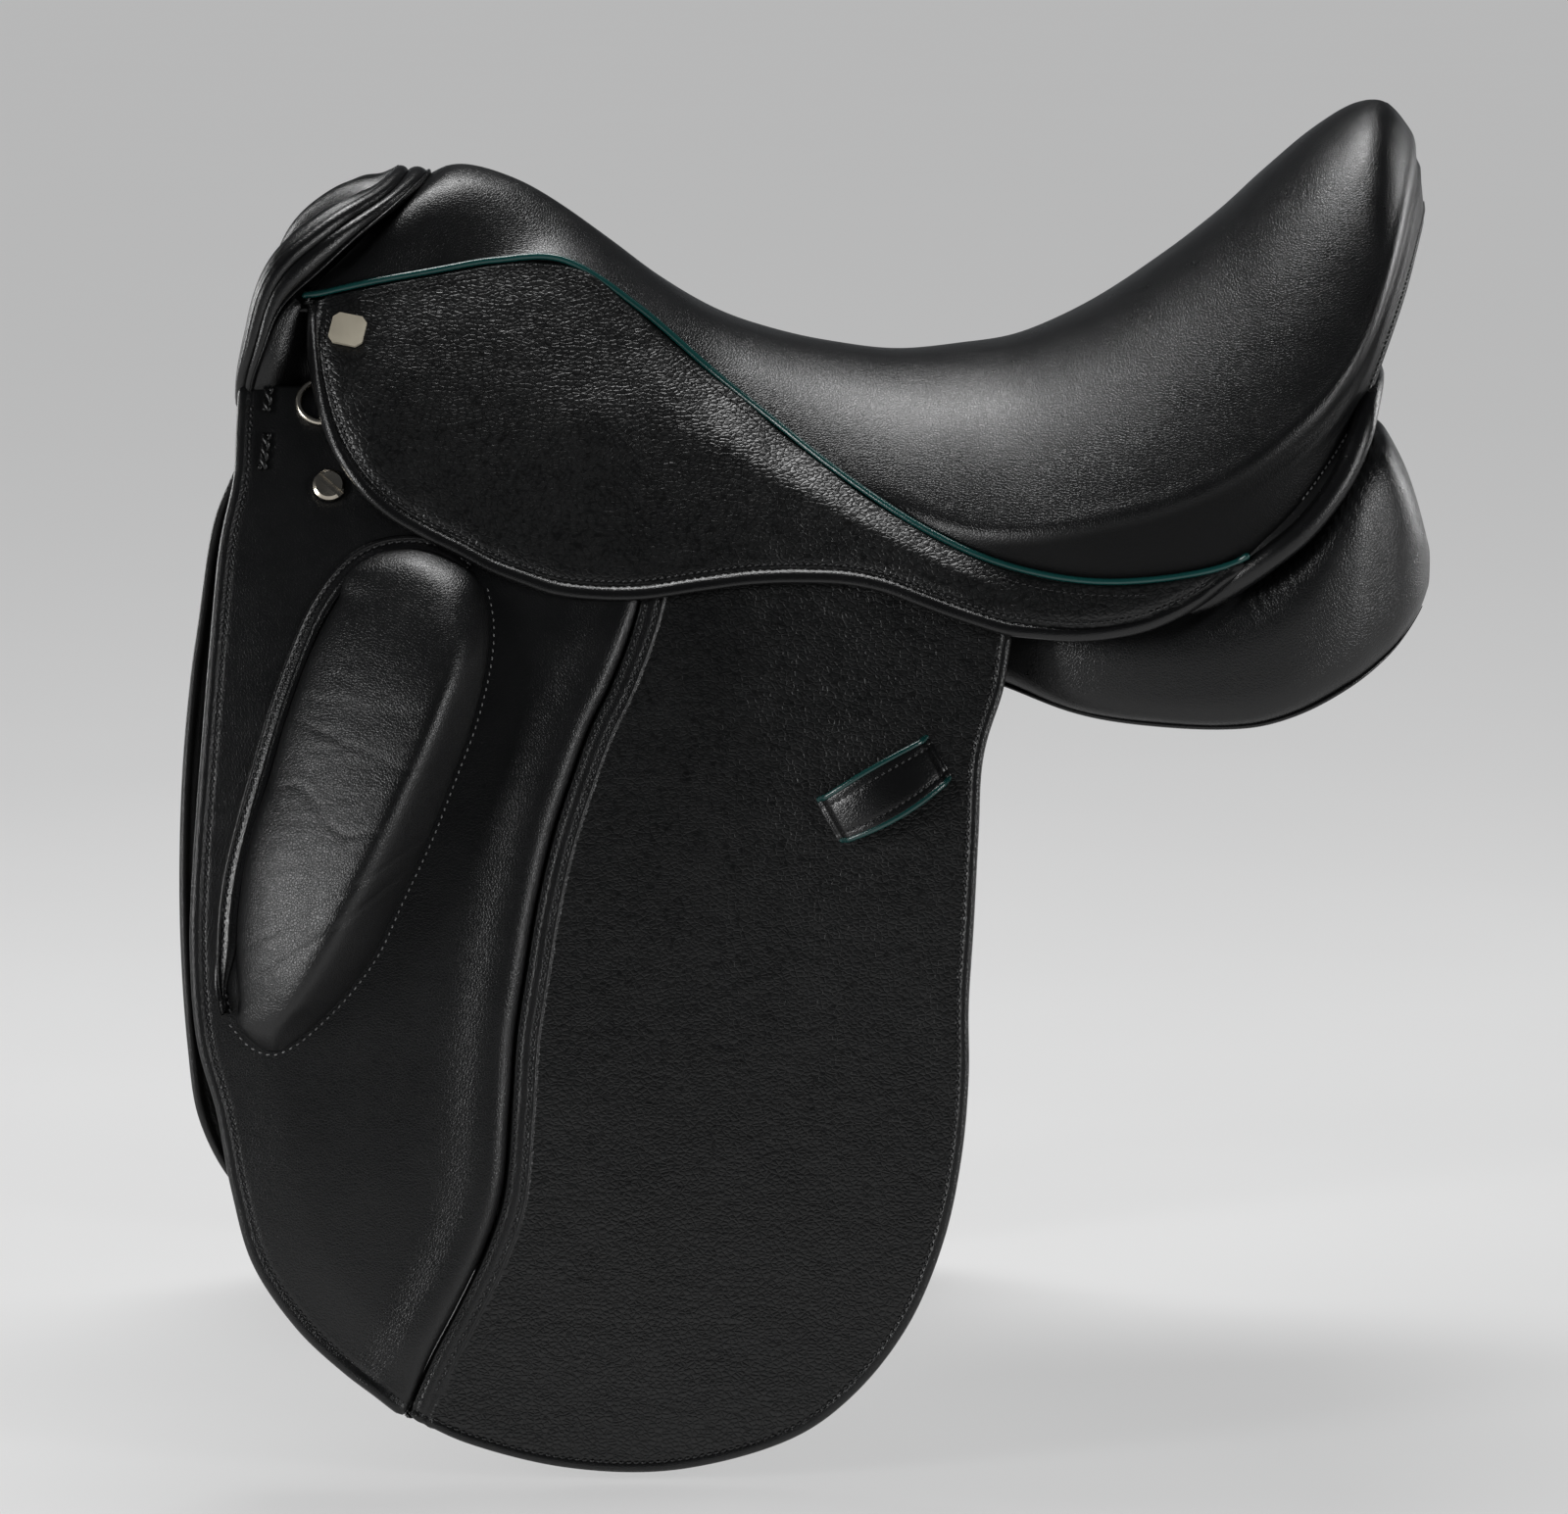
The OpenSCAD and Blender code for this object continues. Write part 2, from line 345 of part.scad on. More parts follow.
// ---- rings, screws and laces --------------------------------------------
RX = -172; RZ = 84;
module onring() translate(onflap(RX, RZ, 0)) rotate([57,0,0]) children();
module ring() onring() translate([0,0,0.8]) {
  difference() {
    union() {
      cylinder(r = 5.2, h = 2.8, $fn = 40);
      translate([-10.5,-4.5,0]) cube([9,9,2.8]);
      translate([-10.4 - ring_r, 0, 1.4]) rotate_extrude($fn = 48) translate([ring_r, 0]) circle(d = ring_wire, $fn = 20);
    }
    translate([0,0,-1]) cylinder(r = 2.06, h = 6, $fn = 32);
  }
}
module left_d_ring() color("#b3aa98") ring();
module right_d_ring() color("#b3aa98") far() ring();
module d_ring_screws() color("#a39b8a") both() onring() {
  translate([0,0,0.3]) cylinder(r = 2, h = 4, $fn = 32);
  translate([0,0,4]) cylinder(r = 4, h = 1.2, $fn = 32);
}
// slotted screw that holds the flap to the tree point
module flap_screws() color("#b7ab92") both() translate(onflap(-188, 52, 0)) rotate([61,0,0]) translate([0,0,0.5]) difference() {
  union() { cylinder(d = screw_d, h = 1.7, $fn = 48); translate([0,0,1.7]) cylinder(d1 = screw_d, d2 = screw_d - 2.4, h = 0.8, $fn = 48); }
  rotate([0,0,-42]) translate([-9,-1.3,1.1]) cube([18,2.6,3]);
}
module panel_laces() color("#161618") both() {
  translate(onflap(-214, 86, 0.8)) rotate([57,0,0]) translate([-1.5,-4,0]) cube([3,8,1.6]);
  translate(onflap(-215, 66, 0.8)) rotate([59,0,0]) translate([-1.5,-7,0]) cube([3,14,1.6]);
}

tree();
head_plate();
head_rivets();
tree_springs();
seat_web();
seat_foam();
seat_cover();
seat_piping();
cantle_facing();
rear_roll();
pommel_roll();
gullet_lining();
left_panel();
right_panel();
panel_flock();
left_sweat_flap();
right_sweat_flap();
left_stirrup_bar();
right_stirrup_bar();
bar_rivets();
bar_catch_pins();
left_bar_catch();
right_bar_catch();
left_skirt_top();
right_skirt_top();
left_skirt();
right_skirt();
left_nameplate();
right_nameplate();
left_flap_top();
right_flap_top();
left_flap_front();
right_flap_front();
left_flap_rear();
right_flap_rear();
left_flap_welt();
right_flap_welt();
left_block_cover();
right_block_cover();
left_block_core();
right_block_core();
left_keeper();
right_keeper();
left_keeper_piping();
right_keeper_piping();
left_d_ring();
right_d_ring();
d_ring_screws();
flap_screws();
billet_webs();
left_front_billet();
left_rear_billet();
right_front_billet();
right_rear_billet();
panel_laces();
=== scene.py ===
import json
import math
import bpy
import numpy as np
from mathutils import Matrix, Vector, kdtree, noise


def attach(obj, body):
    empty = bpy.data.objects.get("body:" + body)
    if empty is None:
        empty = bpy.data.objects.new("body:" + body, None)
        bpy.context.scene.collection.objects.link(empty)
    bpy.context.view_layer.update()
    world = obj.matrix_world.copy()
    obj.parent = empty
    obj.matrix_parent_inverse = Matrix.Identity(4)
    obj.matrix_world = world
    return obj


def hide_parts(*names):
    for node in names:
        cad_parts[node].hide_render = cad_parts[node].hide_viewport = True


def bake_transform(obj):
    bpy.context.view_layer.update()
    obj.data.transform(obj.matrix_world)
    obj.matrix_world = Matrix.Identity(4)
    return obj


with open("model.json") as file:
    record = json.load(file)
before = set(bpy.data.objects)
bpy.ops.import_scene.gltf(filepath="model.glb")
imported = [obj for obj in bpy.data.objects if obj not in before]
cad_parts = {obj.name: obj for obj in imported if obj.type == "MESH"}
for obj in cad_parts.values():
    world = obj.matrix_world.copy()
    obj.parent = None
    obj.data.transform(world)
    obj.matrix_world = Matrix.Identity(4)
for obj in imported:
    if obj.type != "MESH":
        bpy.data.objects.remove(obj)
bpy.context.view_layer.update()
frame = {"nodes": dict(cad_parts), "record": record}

MM = 0.001

# ------------------------------------------------------------------ curves
SEAM_TOP = [[160,20],[172,22.4],[180,24.6],[188,27.6],[200,29]]
CREST = [[-200,168],[-175,174],[-147,176],[-134,177],[-113,171],[-97,162],[-84,153],
  [-67,140],[-50,127],[-34,117],[-17,110],[0,105],[21,101],[42,98],[55,98],[76,100],
  [92,102],[109,107],[126,115],[147,128],[168,143],[189,160],[210,180],[227,194],
  [240,202],[252,204],[260,200],[266,188],[269,167]]
SEAM = [[-194,60,128],[-163,52,134],[-143,47,137],[-123,43,140],[-102,41,141],
  [-82,42,137],[-66,45,125],[-49,49,111],[-33,55,98],[-16,64,86],[0,74,73],[16,85,62],
  [32,95,51],[48,104,42],[64,111,34],[80,118,27],[96,123,22],[112,128,19],[128,131,18],
  [144,132,18],[160,132,20],[187,130,25],[270,128,25]]
LOW = [[-197,100],[-193,83],[-188,70],[-183,61],[-174,50],[-162,40],[-149,33],[-135,27],
  [-122,20],[-108,15],[-95,11],[-78,9],[-59,9],[-36,12],[-13,15],[7,16],[26,16],[41,13],
  [56,8],[71,3],[91,-3],[103,-4],[119,-5],[134,-4],[149,-1],[164,5],[176,12],[186,20]]
PANEL = [[-204,34,70,84,46,66,0],[-190,30,80,90,28,58,-20],[-150,30,82,78,26,42,-26],
  [-100,32,81,66,25,20,-26],[-50,33,82,58,25,8,-24],[0,34,84,52,22,2,-22],
  [50,36,92,47,12,-2,-28],[85,38,110,46,6,-4,-32],[120,40,126,46,4,-5,-36],
  [160,42,134,48,6,-4,-38],[190,43,137,54,12,0,-37],[212,45,137,64,26,6,-32],
  [234,47,132,76,50,14,-20],[252,51,120,74,58,26,-2],[263,58,102,58,48,38,18]]
FRONT = [[-227,55],[-232,29],[-235,-7],[-238,-49],[-241,-95],[-242,-130],[-239,-166],
  [-231,-195],[-225,-226],[-216,-257],[-199,-282],[-180,-300],[-166,-310],[-157,-317]]
MID = [[-62,-1],[-71,-24],[-80,-42],[-89,-66],[-96,-88],[-102,-114],[-106,-138],
  [-110,-164],[-112,-192],[-115,-226],[-122,-249],[-134,-274],[-145,-295],[-154,-316]]
REAR = [[80,-51],[78,-81],[76,-118],[74,-150],[74,-179],[71,-212],[64,-245],[50,-279],
  [28,-308],[0,-328],[-45,-340],[-90,-339],[-130,-329],[-152,-319]]
SWF = [[-238,26],[-240,0],[-243,-23],[-246,-59],[-247,-98],[-246,-134],[-243,-170],
  [-239,-197],[-229,-222],[-212,-240],[-190,-253],[-170,-260]]
SWR = [[58,20],[58,-5],[57,-30],[56,-62],[55,-98],[54,-134],[51,-168],[46,-196],
  [34,-222],[10,-244],[-30,-257],[-70,-263]]
BLOCK = [[-170,-211,-206,0.5,0.02],[-167,-216,-201,0.5,0.14],[-159,-225,-191,0.5,0.36],[-148,-229,-180,0.56,0.6],
  [-132,-230,-168,0.62,0.8],[-111,-229,-158,0.69,0.92],[-86,-225,-146,0.73,0.98],
  [-61,-217,-136,0.77,1],[-40,-211,-128,0.8,1],[-15,-202,-122,0.84,0.92],
  [3,-193,-122,0.84,0.74],[18,-182,-127,0.8,0.42],[27,-168,-142,0.6,0.12],[29,-160,-150,0.55,0.02]]
BLOCK_H = 32.0


def sm(a):
    a = np.clip(a, 0, 1)
    return a*a*(3 - 2*a)


def cr(x, T, c=1):
    """Smooth curve through a table's rows, column c against column 0."""
    T = np.asarray(T, float)
    xs, ys = T[:, 0], T[:, c]
    n = len(xs)
    x = np.asarray(x, float)
    i = np.clip(np.searchsorted(xs, x, side="right") - 1, 0, n - 2)
    a, b = np.maximum(np.arange(n) - 1, 0), np.minimum(np.arange(n) + 1, n - 1)
    s = (ys[b] - ys[a])/(xs[b] - xs[a])
    h = xs[i+1] - xs[i]
    u = np.clip((x - xs[i])/h, 0, 1)
    return (ys[i]*(2*u**3 - 3*u**2 + 1) + s[i]*h*(u**3 - 2*u**2 + u)
            + ys[i+1]*(3*u**2 - 2*u**3) + s[i+1]*h*(u**3 - u**2))


def even(P, n):
    """n points evenly spaced along a polyline."""
    d = np.concatenate([[0], np.cumsum(np.linalg.norm(np.diff(P, axis=0), axis=1))])
    t = np.linspace(0, d[-1], n)
    return np.stack([np.interp(t, d, P[:, k]) for k in range(P.shape[1])], 1)


def length(P):
    return float(np.linalg.norm(np.diff(P, axis=0), axis=1).sum())


def spline(pts, n):
    """Smooth curve through points of any dimension, n points evenly spaced."""
    P = np.asarray(pts, float)
    d = np.maximum(np.linalg.norm(np.diff(P, axis=0), axis=1), 1e-6)**0.5
    t = np.concatenate([[0], np.cumsum(d)])
    m = np.gradient(P, t, axis=0)
    tt = np.linspace(0, t[-1], max(400, 24*len(P)))
    i = np.clip(np.searchsorted(t, tt, side="right") - 1, 0, len(P) - 2)
    h = (t[i+1] - t[i])[:, None]
    u = (tt - t[i])[:, None]/h
    Q = (P[i]*(2*u**3 - 3*u**2 + 1) + m[i]*h*(u**3 - 2*u**2 + u)
         + P[i+1]*(3*u**2 - 2*u**3) + m[i+1]*h*(u**3 - u**2))
    return even(Q, n)


def smooth1(P, sigma, axis=0):
    """Gaussian smoothing along an axis, ends kept."""
    k = int(max(1, round(3*sigma)))
    w = np.exp(-0.5*(np.arange(-k, k + 1)/sigma)**2)
    w /= w.sum()
    Q = np.moveaxis(np.asarray(P, float), axis, 0)
    pad = np.concatenate([2*Q[:1] - Q[k:0:-1], Q, 2*Q[-1:] - Q[-2:-k-2:-1]])
    out = sum(w[j]*pad[j:j + len(Q)] for j in range(2*k + 1))
    return np.moveaxis(out, 0, axis)


def flapy(x, z):
    return (68 + 140*(1 - np.exp(-(91 - z)/210))
            + 22*sm((x + 40)/150)*np.exp(-(91 - z)/260))


def onflap(x, z, o=0.0):
    x, z = np.broadcast_arrays(np.asarray(x, float), np.asarray(z, float))
    return np.stack([x, -(flapy(x, z) + o), z], -1)


def over(x):
    return 2 + 3*sm((-150 - x)/25)


def skirt_face(x, z):
    """Inner face of the skirt: at the seam it meets the seat, lower down it clears the flap."""
    zs, zl = cr(x, SEAM, 2) - 2, cr(x, LOW)
    s = np.clip((zs - z)/(zs - zl), 0, 1)
    ys, yl = cr(x, SEAM) + 1.5, flapy(x, zl) + over(x)
    b = 6*sm((x + 205)/60)*(1 - 0.7*sm((x + 50)/120))
    y = ys + (yl - ys)*s + b*np.sin(np.pi*s) + 2.6*np.exp(-(((x + 72)/22.0)**2 + ((z - 79)/16.0)**2))
    return y + np.maximum(flapy(x, z) + over(x) - y, 0)*sm(s/0.36)


def onskirt(x, z, o=0.0):
    x, z = np.broadcast_arrays(np.asarray(x, float), np.asarray(z, float))
    return np.stack([x, -(skirt_face(x, z) + 3.2 + o), z], -1)


def nz(x, y, z, f, seed=0.0):
    """Smooth noise in -1..1 at points given in mm, f cycles per mm."""
    P = np.stack(np.broadcast_arrays(x, y, z), -1).reshape(-1, 3)*f + seed
    return np.array([noise.noise(Vector(p)) for p in P]).reshape(np.shape(np.broadcast_arrays(x, y, z)[0]))


# ------------------------------------------------------------------ meshes
def unit(V):
    return V/np.maximum(np.linalg.norm(V, axis=-1, keepdims=True), 1e-9)


def grid_normals(P):
    a, b = np.gradient(P, axis=0), np.gradient(P, axis=1)
    N = np.cross(a, b)
    L = np.linalg.norm(N, axis=-1)
    bad = L < 1e-5
    N = unit(N)
    if bad.any():
        good = ~bad
        idx = np.argwhere(good)
        for r, c in np.argwhere(bad):
            row = np.where(good[r])[0]
            if len(row):
                N[r, c] = N[r, row[np.argmin(abs(row - c))]]
            else:
                k = idx[np.argmin(abs(idx[:, 0] - r)*1000 + abs(idx[:, 1] - c))]
                N[r, c] = N[k[0], k[1]]
    return N


def quads(n, m, off=0, flip=False, wrap=False):
    mm = m if wrap else m - 1
    i, j = np.meshgrid(np.arange(n - 1), np.arange(mm), indexing="ij")
    a, b = i*m + j, (i + 1)*m + j
    c, d = (i + 1)*m + (j + 1) % m, i*m + (j + 1) % m
    F = np.stack([a, d, c, b] if flip else [a, b, c, d], -1).reshape(-1, 4) + off
    return F


def make(name, V, F, mat, mats=None, fm=None):
    me = bpy.data.meshes.new(name)
    F = [tuple(int(k) for k in f) for f in F]
    me.from_pydata((np.asarray(V, float)*MM).tolist(), [], F)
    me.validate(clean_customdata=False)
    me.polygons.foreach_set("use_smooth", [True]*len(me.polygons))
    for k in (mats or [mat]):
        me.materials.append(k)
    if fm is not None:
        me.polygons.foreach_set("material_index", [int(k) for k in fm[:len(me.polygons)]])
    me.update()
    o = bpy.data.objects.new(name, me)
    bpy.context.scene.collection.objects.link(o)
    return o


def sheet_solid(P, T, outward, rim=4, round_=1.0):
    """Vertices and faces of leather: outer grid P, thickness T, with a round edge."""
    n, m = P.shape[:2]
    N = grid_normals(P)
    flip = float((N*np.asarray(outward, float)).sum(-1).mean()) < 0
    if flip:
        N = -N
    T = np.broadcast_to(np.asarray(T, float), (n, m))
    Q = P - T[..., None]*N
    per = ([(0, j) for j in range(m)] + [(i, m - 1) for i in range(1, n)]
           + [(n - 1, j) for j in range(m - 2, -1, -1)] + [(i, 0) for i in range(n - 2, 0, -1)])
    inn = []
    for i, j in per:
        inn.append((min(max(i, 1), n - 2), min(max(j, 1), m - 2)))
    pi = np.array(per)
    qi = np.array(inn)
    Pb, Qb, Nb = P[pi[:, 0], pi[:, 1]], Q[pi[:, 0], pi[:, 1]], N[pi[:, 0], pi[:, 1]]
    Tb = T[pi[:, 0], pi[:, 1]]
    out = Pb - P[qi[:, 0], qi[:, 1]]
    out -= (out*Nb).sum(-1, keepdims=True)*Nb
    out = unit(out)
    V = [P.reshape(-1, 3), Q.reshape(-1, 3)]
    F = [quads(n, m, 0, flip), quads(n, m, n*m, not flip)]
    loops = [pi[:, 0]*m + pi[:, 1]]
    base = 2*n*m
    for k in range(1, rim + 1):
        th = math.pi*k/(rim + 1)
        R = (Pb + Qb)/2 + Nb*(Tb/2*math.cos(th))[:, None] + out*(Tb/2*math.sin(th)*round_)[:, None]
        V.append(R)
        loops.append(base + np.arange(len(per)))
        base += len(per)
    loops.append(pi[:, 0]*m + pi[:, 1] + n*m)
    for a, b in zip(loops[:-1], loops[1:]):
        a2, b2 = np.roll(a, -1), np.roll(b, -1)
        q = np.stack([a, b, b2, a2], -1) if flip else np.stack([a, a2, b2, b], -1)
        F.append(q)
    return np.concatenate(V), np.concatenate(F)


def tube(path, r, k=12, flat=1.0, up=None, round_ends=True):
    """Round cord with closed, rounded ends."""
    P = np.asarray(path, float)
    n = len(P)
    r = np.broadcast_to(np.asarray(r, float), (n,)).copy()
    T = unit(np.gradient(P, axis=0))
    if round_ends:
        P = np.concatenate([[P[0] - T[0]*r[0]*0.95], [P[0] - T[0]*r[0]*0.7], P, [P[-1] + T[-1]*r[-1]*0.7], [P[-1] + T[-1]*r[-1]*0.95]])
        r = np.concatenate([[r[0]*0.3, r[0]*0.75], r, [r[-1]*0.75, r[-1]*0.3]])
        T = np.concatenate([[T[0]]*2, T, [T[-1]]*2])
        n += 4
    e = np.zeros((n, 3))
    v = np.array(up if up is not None else ([0, 1, 0] if abs(T[0][1]) < 0.8 else [0, 0, 1]), float)
    for i in range(n):
        v = v - T[i]*(v @ T[i])
        v = v/max(np.linalg.norm(v), 1e-9)
        e[i] = v
    f = np.cross(T, e)
    a = 2*np.pi*np.arange(k)/k
    V = (P[:, None] + r[:, None, None]*(np.cos(a)[None, :, None]*e[:, None] + flat*np.sin(a)[None, :, None]*f[:, None]))
    F = [tuple(q) for q in quads(n, k, 0, False, True)]
    F += [tuple(range(k)), tuple((n - 1)*k + j for j in range(k - 1, -1, -1))]
    return V.reshape(-1, 3), F


def join(parts):
    V, F, o = [], [], 0
    for v, f in parts:
        V.append(np.asarray(v, float))
        F += [tuple(int(k) + o for k in q) for q in f]
        o += len(v)
    return np.concatenate(V), F


def mirrored(o, name):
    me = o.data.copy()
    me.name = name
    co = np.zeros(len(me.vertices)*3, np.float32)
    me.vertices.foreach_get("co", co)
    co = co.reshape(-1, 3)
    co[:, 1] *= -1
    me.vertices.foreach_set("co", co.ravel())
    me.flip_normals()
    me.update()
    q = bpy.data.objects.new(name, me)
    bpy.context.scene.collection.objects.link(q)
    for mod in o.modifiers:
        pass
    return q


def columns(L, near, far, mid, ka=1.0, kb=1.0):
    """Distances across a row of length L, dense near both edges."""
    near, far = np.asarray(near, float), np.asarray(far, float)
    A = near[None]*np.asarray(ka)[..., None] if np.ndim(ka) else np.repeat(near[None]*ka, len(L), 0)
    B = far[None]*np.asarray(kb)[..., None] if np.ndim(kb) else np.repeat(far[None]*kb, len(L), 0)
    s = np.minimum(1, 0.7*L/(A[:, -1] + B[:, -1]))[:, None]
    A, B = A*s, L[:, None] - (B*s)[:, ::-1]
    w = np.linspace(0, 1, mid + 2)[1:-1][None]
    C = A[:, -1:] + (B[:, :1] - A[:, -1:])*w
    return np.hstack([A, C, B])


def slant(E, D):
    """1 over the sine of the angle between an edge and the rows that leave it."""
    t = unit(np.gradient(E, axis=0))
    c = np.abs(t[:, 0]*D[:, 1] - t[:, 1]*D[:, 0])
    return smooth1((1/np.clip(c, 0.45, 1))[:, None], 4)[:, 0]


def inset(E, d, side):
    """Plane curve moved sideways by d; side is a point on the wanted side."""
    t = unit(np.gradient(E, axis=0))
    n = np.stack([-t[:, 1], t[:, 0]], -1)
    s = np.sign(((np.asarray(side, float) - E)*n).sum(-1).mean())
    return E + n*d*s


# ------------------------------------------------------------------ stitches
THREADS = {}


def stitch_row(group, P, N, pitch=2.7, long=2.0, r=0.36, lift=0.12, turn=0.16):
    """Short threads laid end to end along P, on the side that N points to."""
    n = max(2, int(length(P)/pitch))
    both = even(np.hstack([P, N*0.0 + 0]), n)[:, :3]
    d = np.concatenate([[0], np.cumsum(np.linalg.norm(np.diff(P, axis=0), axis=1))])
    t = np.linspace(0, d[-1], n)
    M = unit(np.stack([np.interp(t, d, N[:, k]) for k in range(3)], 1))
    T = unit(np.gradient(both, axis=0))
    B = np.cross(M, T)
    T2 = T*math.cos(turn) + B*math.sin(turn)
    B2 = np.cross(M, T2)
    u = np.array([-0.5, -0.32, 0, 0.32, 0.5])
    rr = np.array([0.25, 0.85, 1.0, 0.85, 0.25])*r
    hh = np.array([-1.1, 0.05, 0.45, 0.05, -1.1])*r + lift
    a = 2*np.pi*np.arange(6)/6
    V = (both[:, None, None] + (u*long)[None, :, None, None]*T2[:, None, None]
         + hh[None, :, None, None]*M[:, None, None]
         + rr[None, :, None, None]*(np.cos(a)[None, None, :, None]*B2[:, None, None] + np.sin(a)[None, None, :, None]*M[:, None, None]))
    base = quads(5, 6, 0, True, True)
    F = [tuple(q + 30*i) for i in range(n) for q in base]
    F += [tuple(30*i + j for j in range(5, -1, -1)) for i in range(n)]
    F += [tuple(30*i + 24 + j for j in range(6)) for i in range(n)]
    THREADS.setdefault(group, []).append((V.reshape(-1, 3), F))


def normals_of(surface, x, z, out=(0, -1, 0.3)):
    e = 0.4
    a = surface(x + e, z) - surface(x - e, z)
    b = surface(x, z + e) - surface(x, z - e)
    N = unit(np.cross(a, b))
    return N*np.sign((N*np.asarray(out, float)).sum(-1, keepdims=True))


def stitch_on(group, C, surface, o=0.0, **kw):
    """Stitches along a plane curve C (x, z) laid on a surface."""
    C = even(C, max(20, int(length(C)/1.5)))
    f = lambda x, z: surface(x, z, o)
    stitch_row(group, f(C[:, 0], C[:, 1]), normals_of(f, C[:, 0], C[:, 1]), **kw)


# ------------------------------------------------------------------ materials
def new_mat(name):
    m = bpy.data.materials.new(name)
    m.use_nodes = True
    t = m.node_tree
    t.nodes.clear()
    out = t.nodes.new("ShaderNodeOutputMaterial")
    b = t.nodes.new("ShaderNodeBsdfPrincipled")
    t.links.new(b.outputs[0], out.inputs[0])
    return m, t, b


def tex_coord(t, scale):
    c = t.nodes.new("ShaderNodeTexCoord")
    mp = t.nodes.new("ShaderNodeMapping")
    mp.inputs["Scale"].default_value = scale
    t.links.new(c.outputs["Object"], mp.inputs[0])
    return mp.outputs[0]


def ramp(t, fac, stops):
    r = t.nodes.new("ShaderNodeValToRGB")
    r.color_ramp.elements[0].position, r.color_ramp.elements[0].color = stops[0][0], stops[0][1]
    r.color_ramp.elements[1].position, r.color_ramp.elements[1].color = stops[-1][0], stops[-1][1]
    for p, c in stops[1:-1]:
        e = r.color_ramp.elements.new(p)
        e.color = c
    t.links.new(fac, r.inputs[0])
    return r.outputs[0]


def grey(v):
    return (v, v, v, 1)


def noise_tex(t, vec, scale, detail=2.0, rough=0.5):
    n = t.nodes.new("ShaderNodeTexNoise")
    n.inputs["Scale"].default_value = scale
    n.inputs["Detail"].default_value = detail
    n.inputs["Roughness"].default_value = rough
    t.links.new(vec, n.inputs["Vector"])
    return n.outputs["Fac"]


def voronoi(t, vec, scale, feature="SMOOTH_F1"):
    v = t.nodes.new("ShaderNodeTexVoronoi")
    v.feature = feature
    v.inputs["Scale"].default_value = scale
    if feature == "SMOOTH_F1":
        v.inputs["Smoothness"].default_value = 0.35
    t.links.new(vec, v.inputs["Vector"])
    return v.outputs["Distance"]


def math_node(t, op, a, b):
    n = t.nodes.new("ShaderNodeMath")
    n.operation = op
    for i, x in enumerate((a, b)):
        if isinstance(x, (int, float)):
            n.inputs[i].default_value = x
        else:
            t.links.new(x, n.inputs[i])
    return n.outputs[0]


def bump(t, height, strength, dist, after=None):
    b = t.nodes.new("ShaderNodeBump")
    b.inputs["Strength"].default_value = strength
    b.inputs["Distance"].default_value = dist
    t.links.new(height, b.inputs["Height"])
    if after is not None:
        t.links.new(after, b.inputs["Normal"])
    return b.outputs[0]


def leather(name, dark, light, rough=(0.36, 0.5), grain="fine", stretch=(1, 1, 1), coat=0.0, spec=0.5, depth=1.0, dull=None):
    """Near black finished leather: colour drift, worn sheen, pores or tumbled grain, with painted shade in the creases
    and painted light on the pebble tops of tumbled grain, and a lower specular level as painted shade where dull is
    given.
    """
    m, t, b = new_mat(name)
    vec = tex_coord(t, stretch)
    big = noise_tex(t, vec, 9.0, 3.0, 0.55)
    col = ramp(t, big, [(0.3, (*dark, 1)), (0.72, (*light, 1))])
    t.links.new(col, b.inputs["Base Color"])
    mid = noise_tex(t, vec, 60.0, 4.0, 0.6)
    if grain == "fine":
        cells = voronoi(t, vec, 880.0, "DISTANCE_TO_EDGE")
        skin = noise_tex(t, vec, 520.0, 4.0, 0.7)
        h1 = ramp(t, cells, [(0.0, grey(0.0)), (0.16, grey(0.8)), (0.5, grey(1.0))])
        n1 = bump(t, h1, 0.50*depth, 0.00012)
        n2 = bump(t, skin, 0.55*depth, 0.0002, n1)
        n3 = bump(t, mid, 0.13*depth, 0.0008, n2)
    else:
        cells = voronoi(t, vec, 500.0, "DISTANCE_TO_EDGE")
        round_ = voronoi(t, vec, 500.0)
        small = voronoi(t, vec, 1200.0, "DISTANCE_TO_EDGE")
        warp = noise_tex(t, vec, 150.0, 3.0, 0.6)
        h1 = ramp(t, cells, [(0.0, grey(0.0)), (0.16, grey(0.6)), (0.5, grey(1.0))])
        h2 = ramp(t, small, [(0.0, grey(0.0)), (0.25, grey(1.0))])
        n1 = bump(t, h1, 0.56*depth, 0.0003)
        n1 = bump(t, round_, -0.56*depth, 0.0007, n1)
        n2 = bump(t, h2, 0.14*depth, 0.0001, n1)
        n3 = bump(t, warp, 0.36*depth, 0.0011, n2)
    # on tumbled grain the base colour is painted: painted shade in the creases and painted light on the pebble tops,
    # over the colour drift
    if grain != "fine":
        pebble_shade = math_node(t, "ADD", math_node(t, "MULTIPLY", big, 0.4), math_node(t, "MULTIPLY", h1, 0.6))
        t.links.new(ramp(t, pebble_shade, [(0.3, (dark[0]*0.4, dark[1]*0.4, dark[2]*0.4, 1)), (0.85, (light[0]*2.4, light[1]*2.4, light[2]*2.4, 1))]), b.inputs["Base Color"])
    t.links.new(n3, b.inputs["Normal"])
    r = ramp(t, mid, [(0.3, grey(rough[0])), (0.7, grey(rough[1]))])
    t.links.new(r, b.inputs["Roughness"])
    if dull is None:
        b.inputs["Specular IOR Level"].default_value = spec
    else:
        # lower specular level and more roughness where the dull attribute is set: painted shade
        at = t.nodes.new("ShaderNodeAttribute")
        at.attribute_name = "dull"
        t.links.new(ramp(t, at.outputs["Fac"], [(0.0, grey(spec)), (1.0, grey(dull))]), b.inputs["Specular IOR Level"])
        t.links.new(math_node(t, "ADD", r, math_node(t, "MULTIPLY", at.outputs["Fac"], 0.1)), b.inputs["Roughness"])
    if coat:
        b.inputs["Coat Weight"].default_value = coat
        b.inputs["Coat Roughness"].default_value = 0.25
    return m


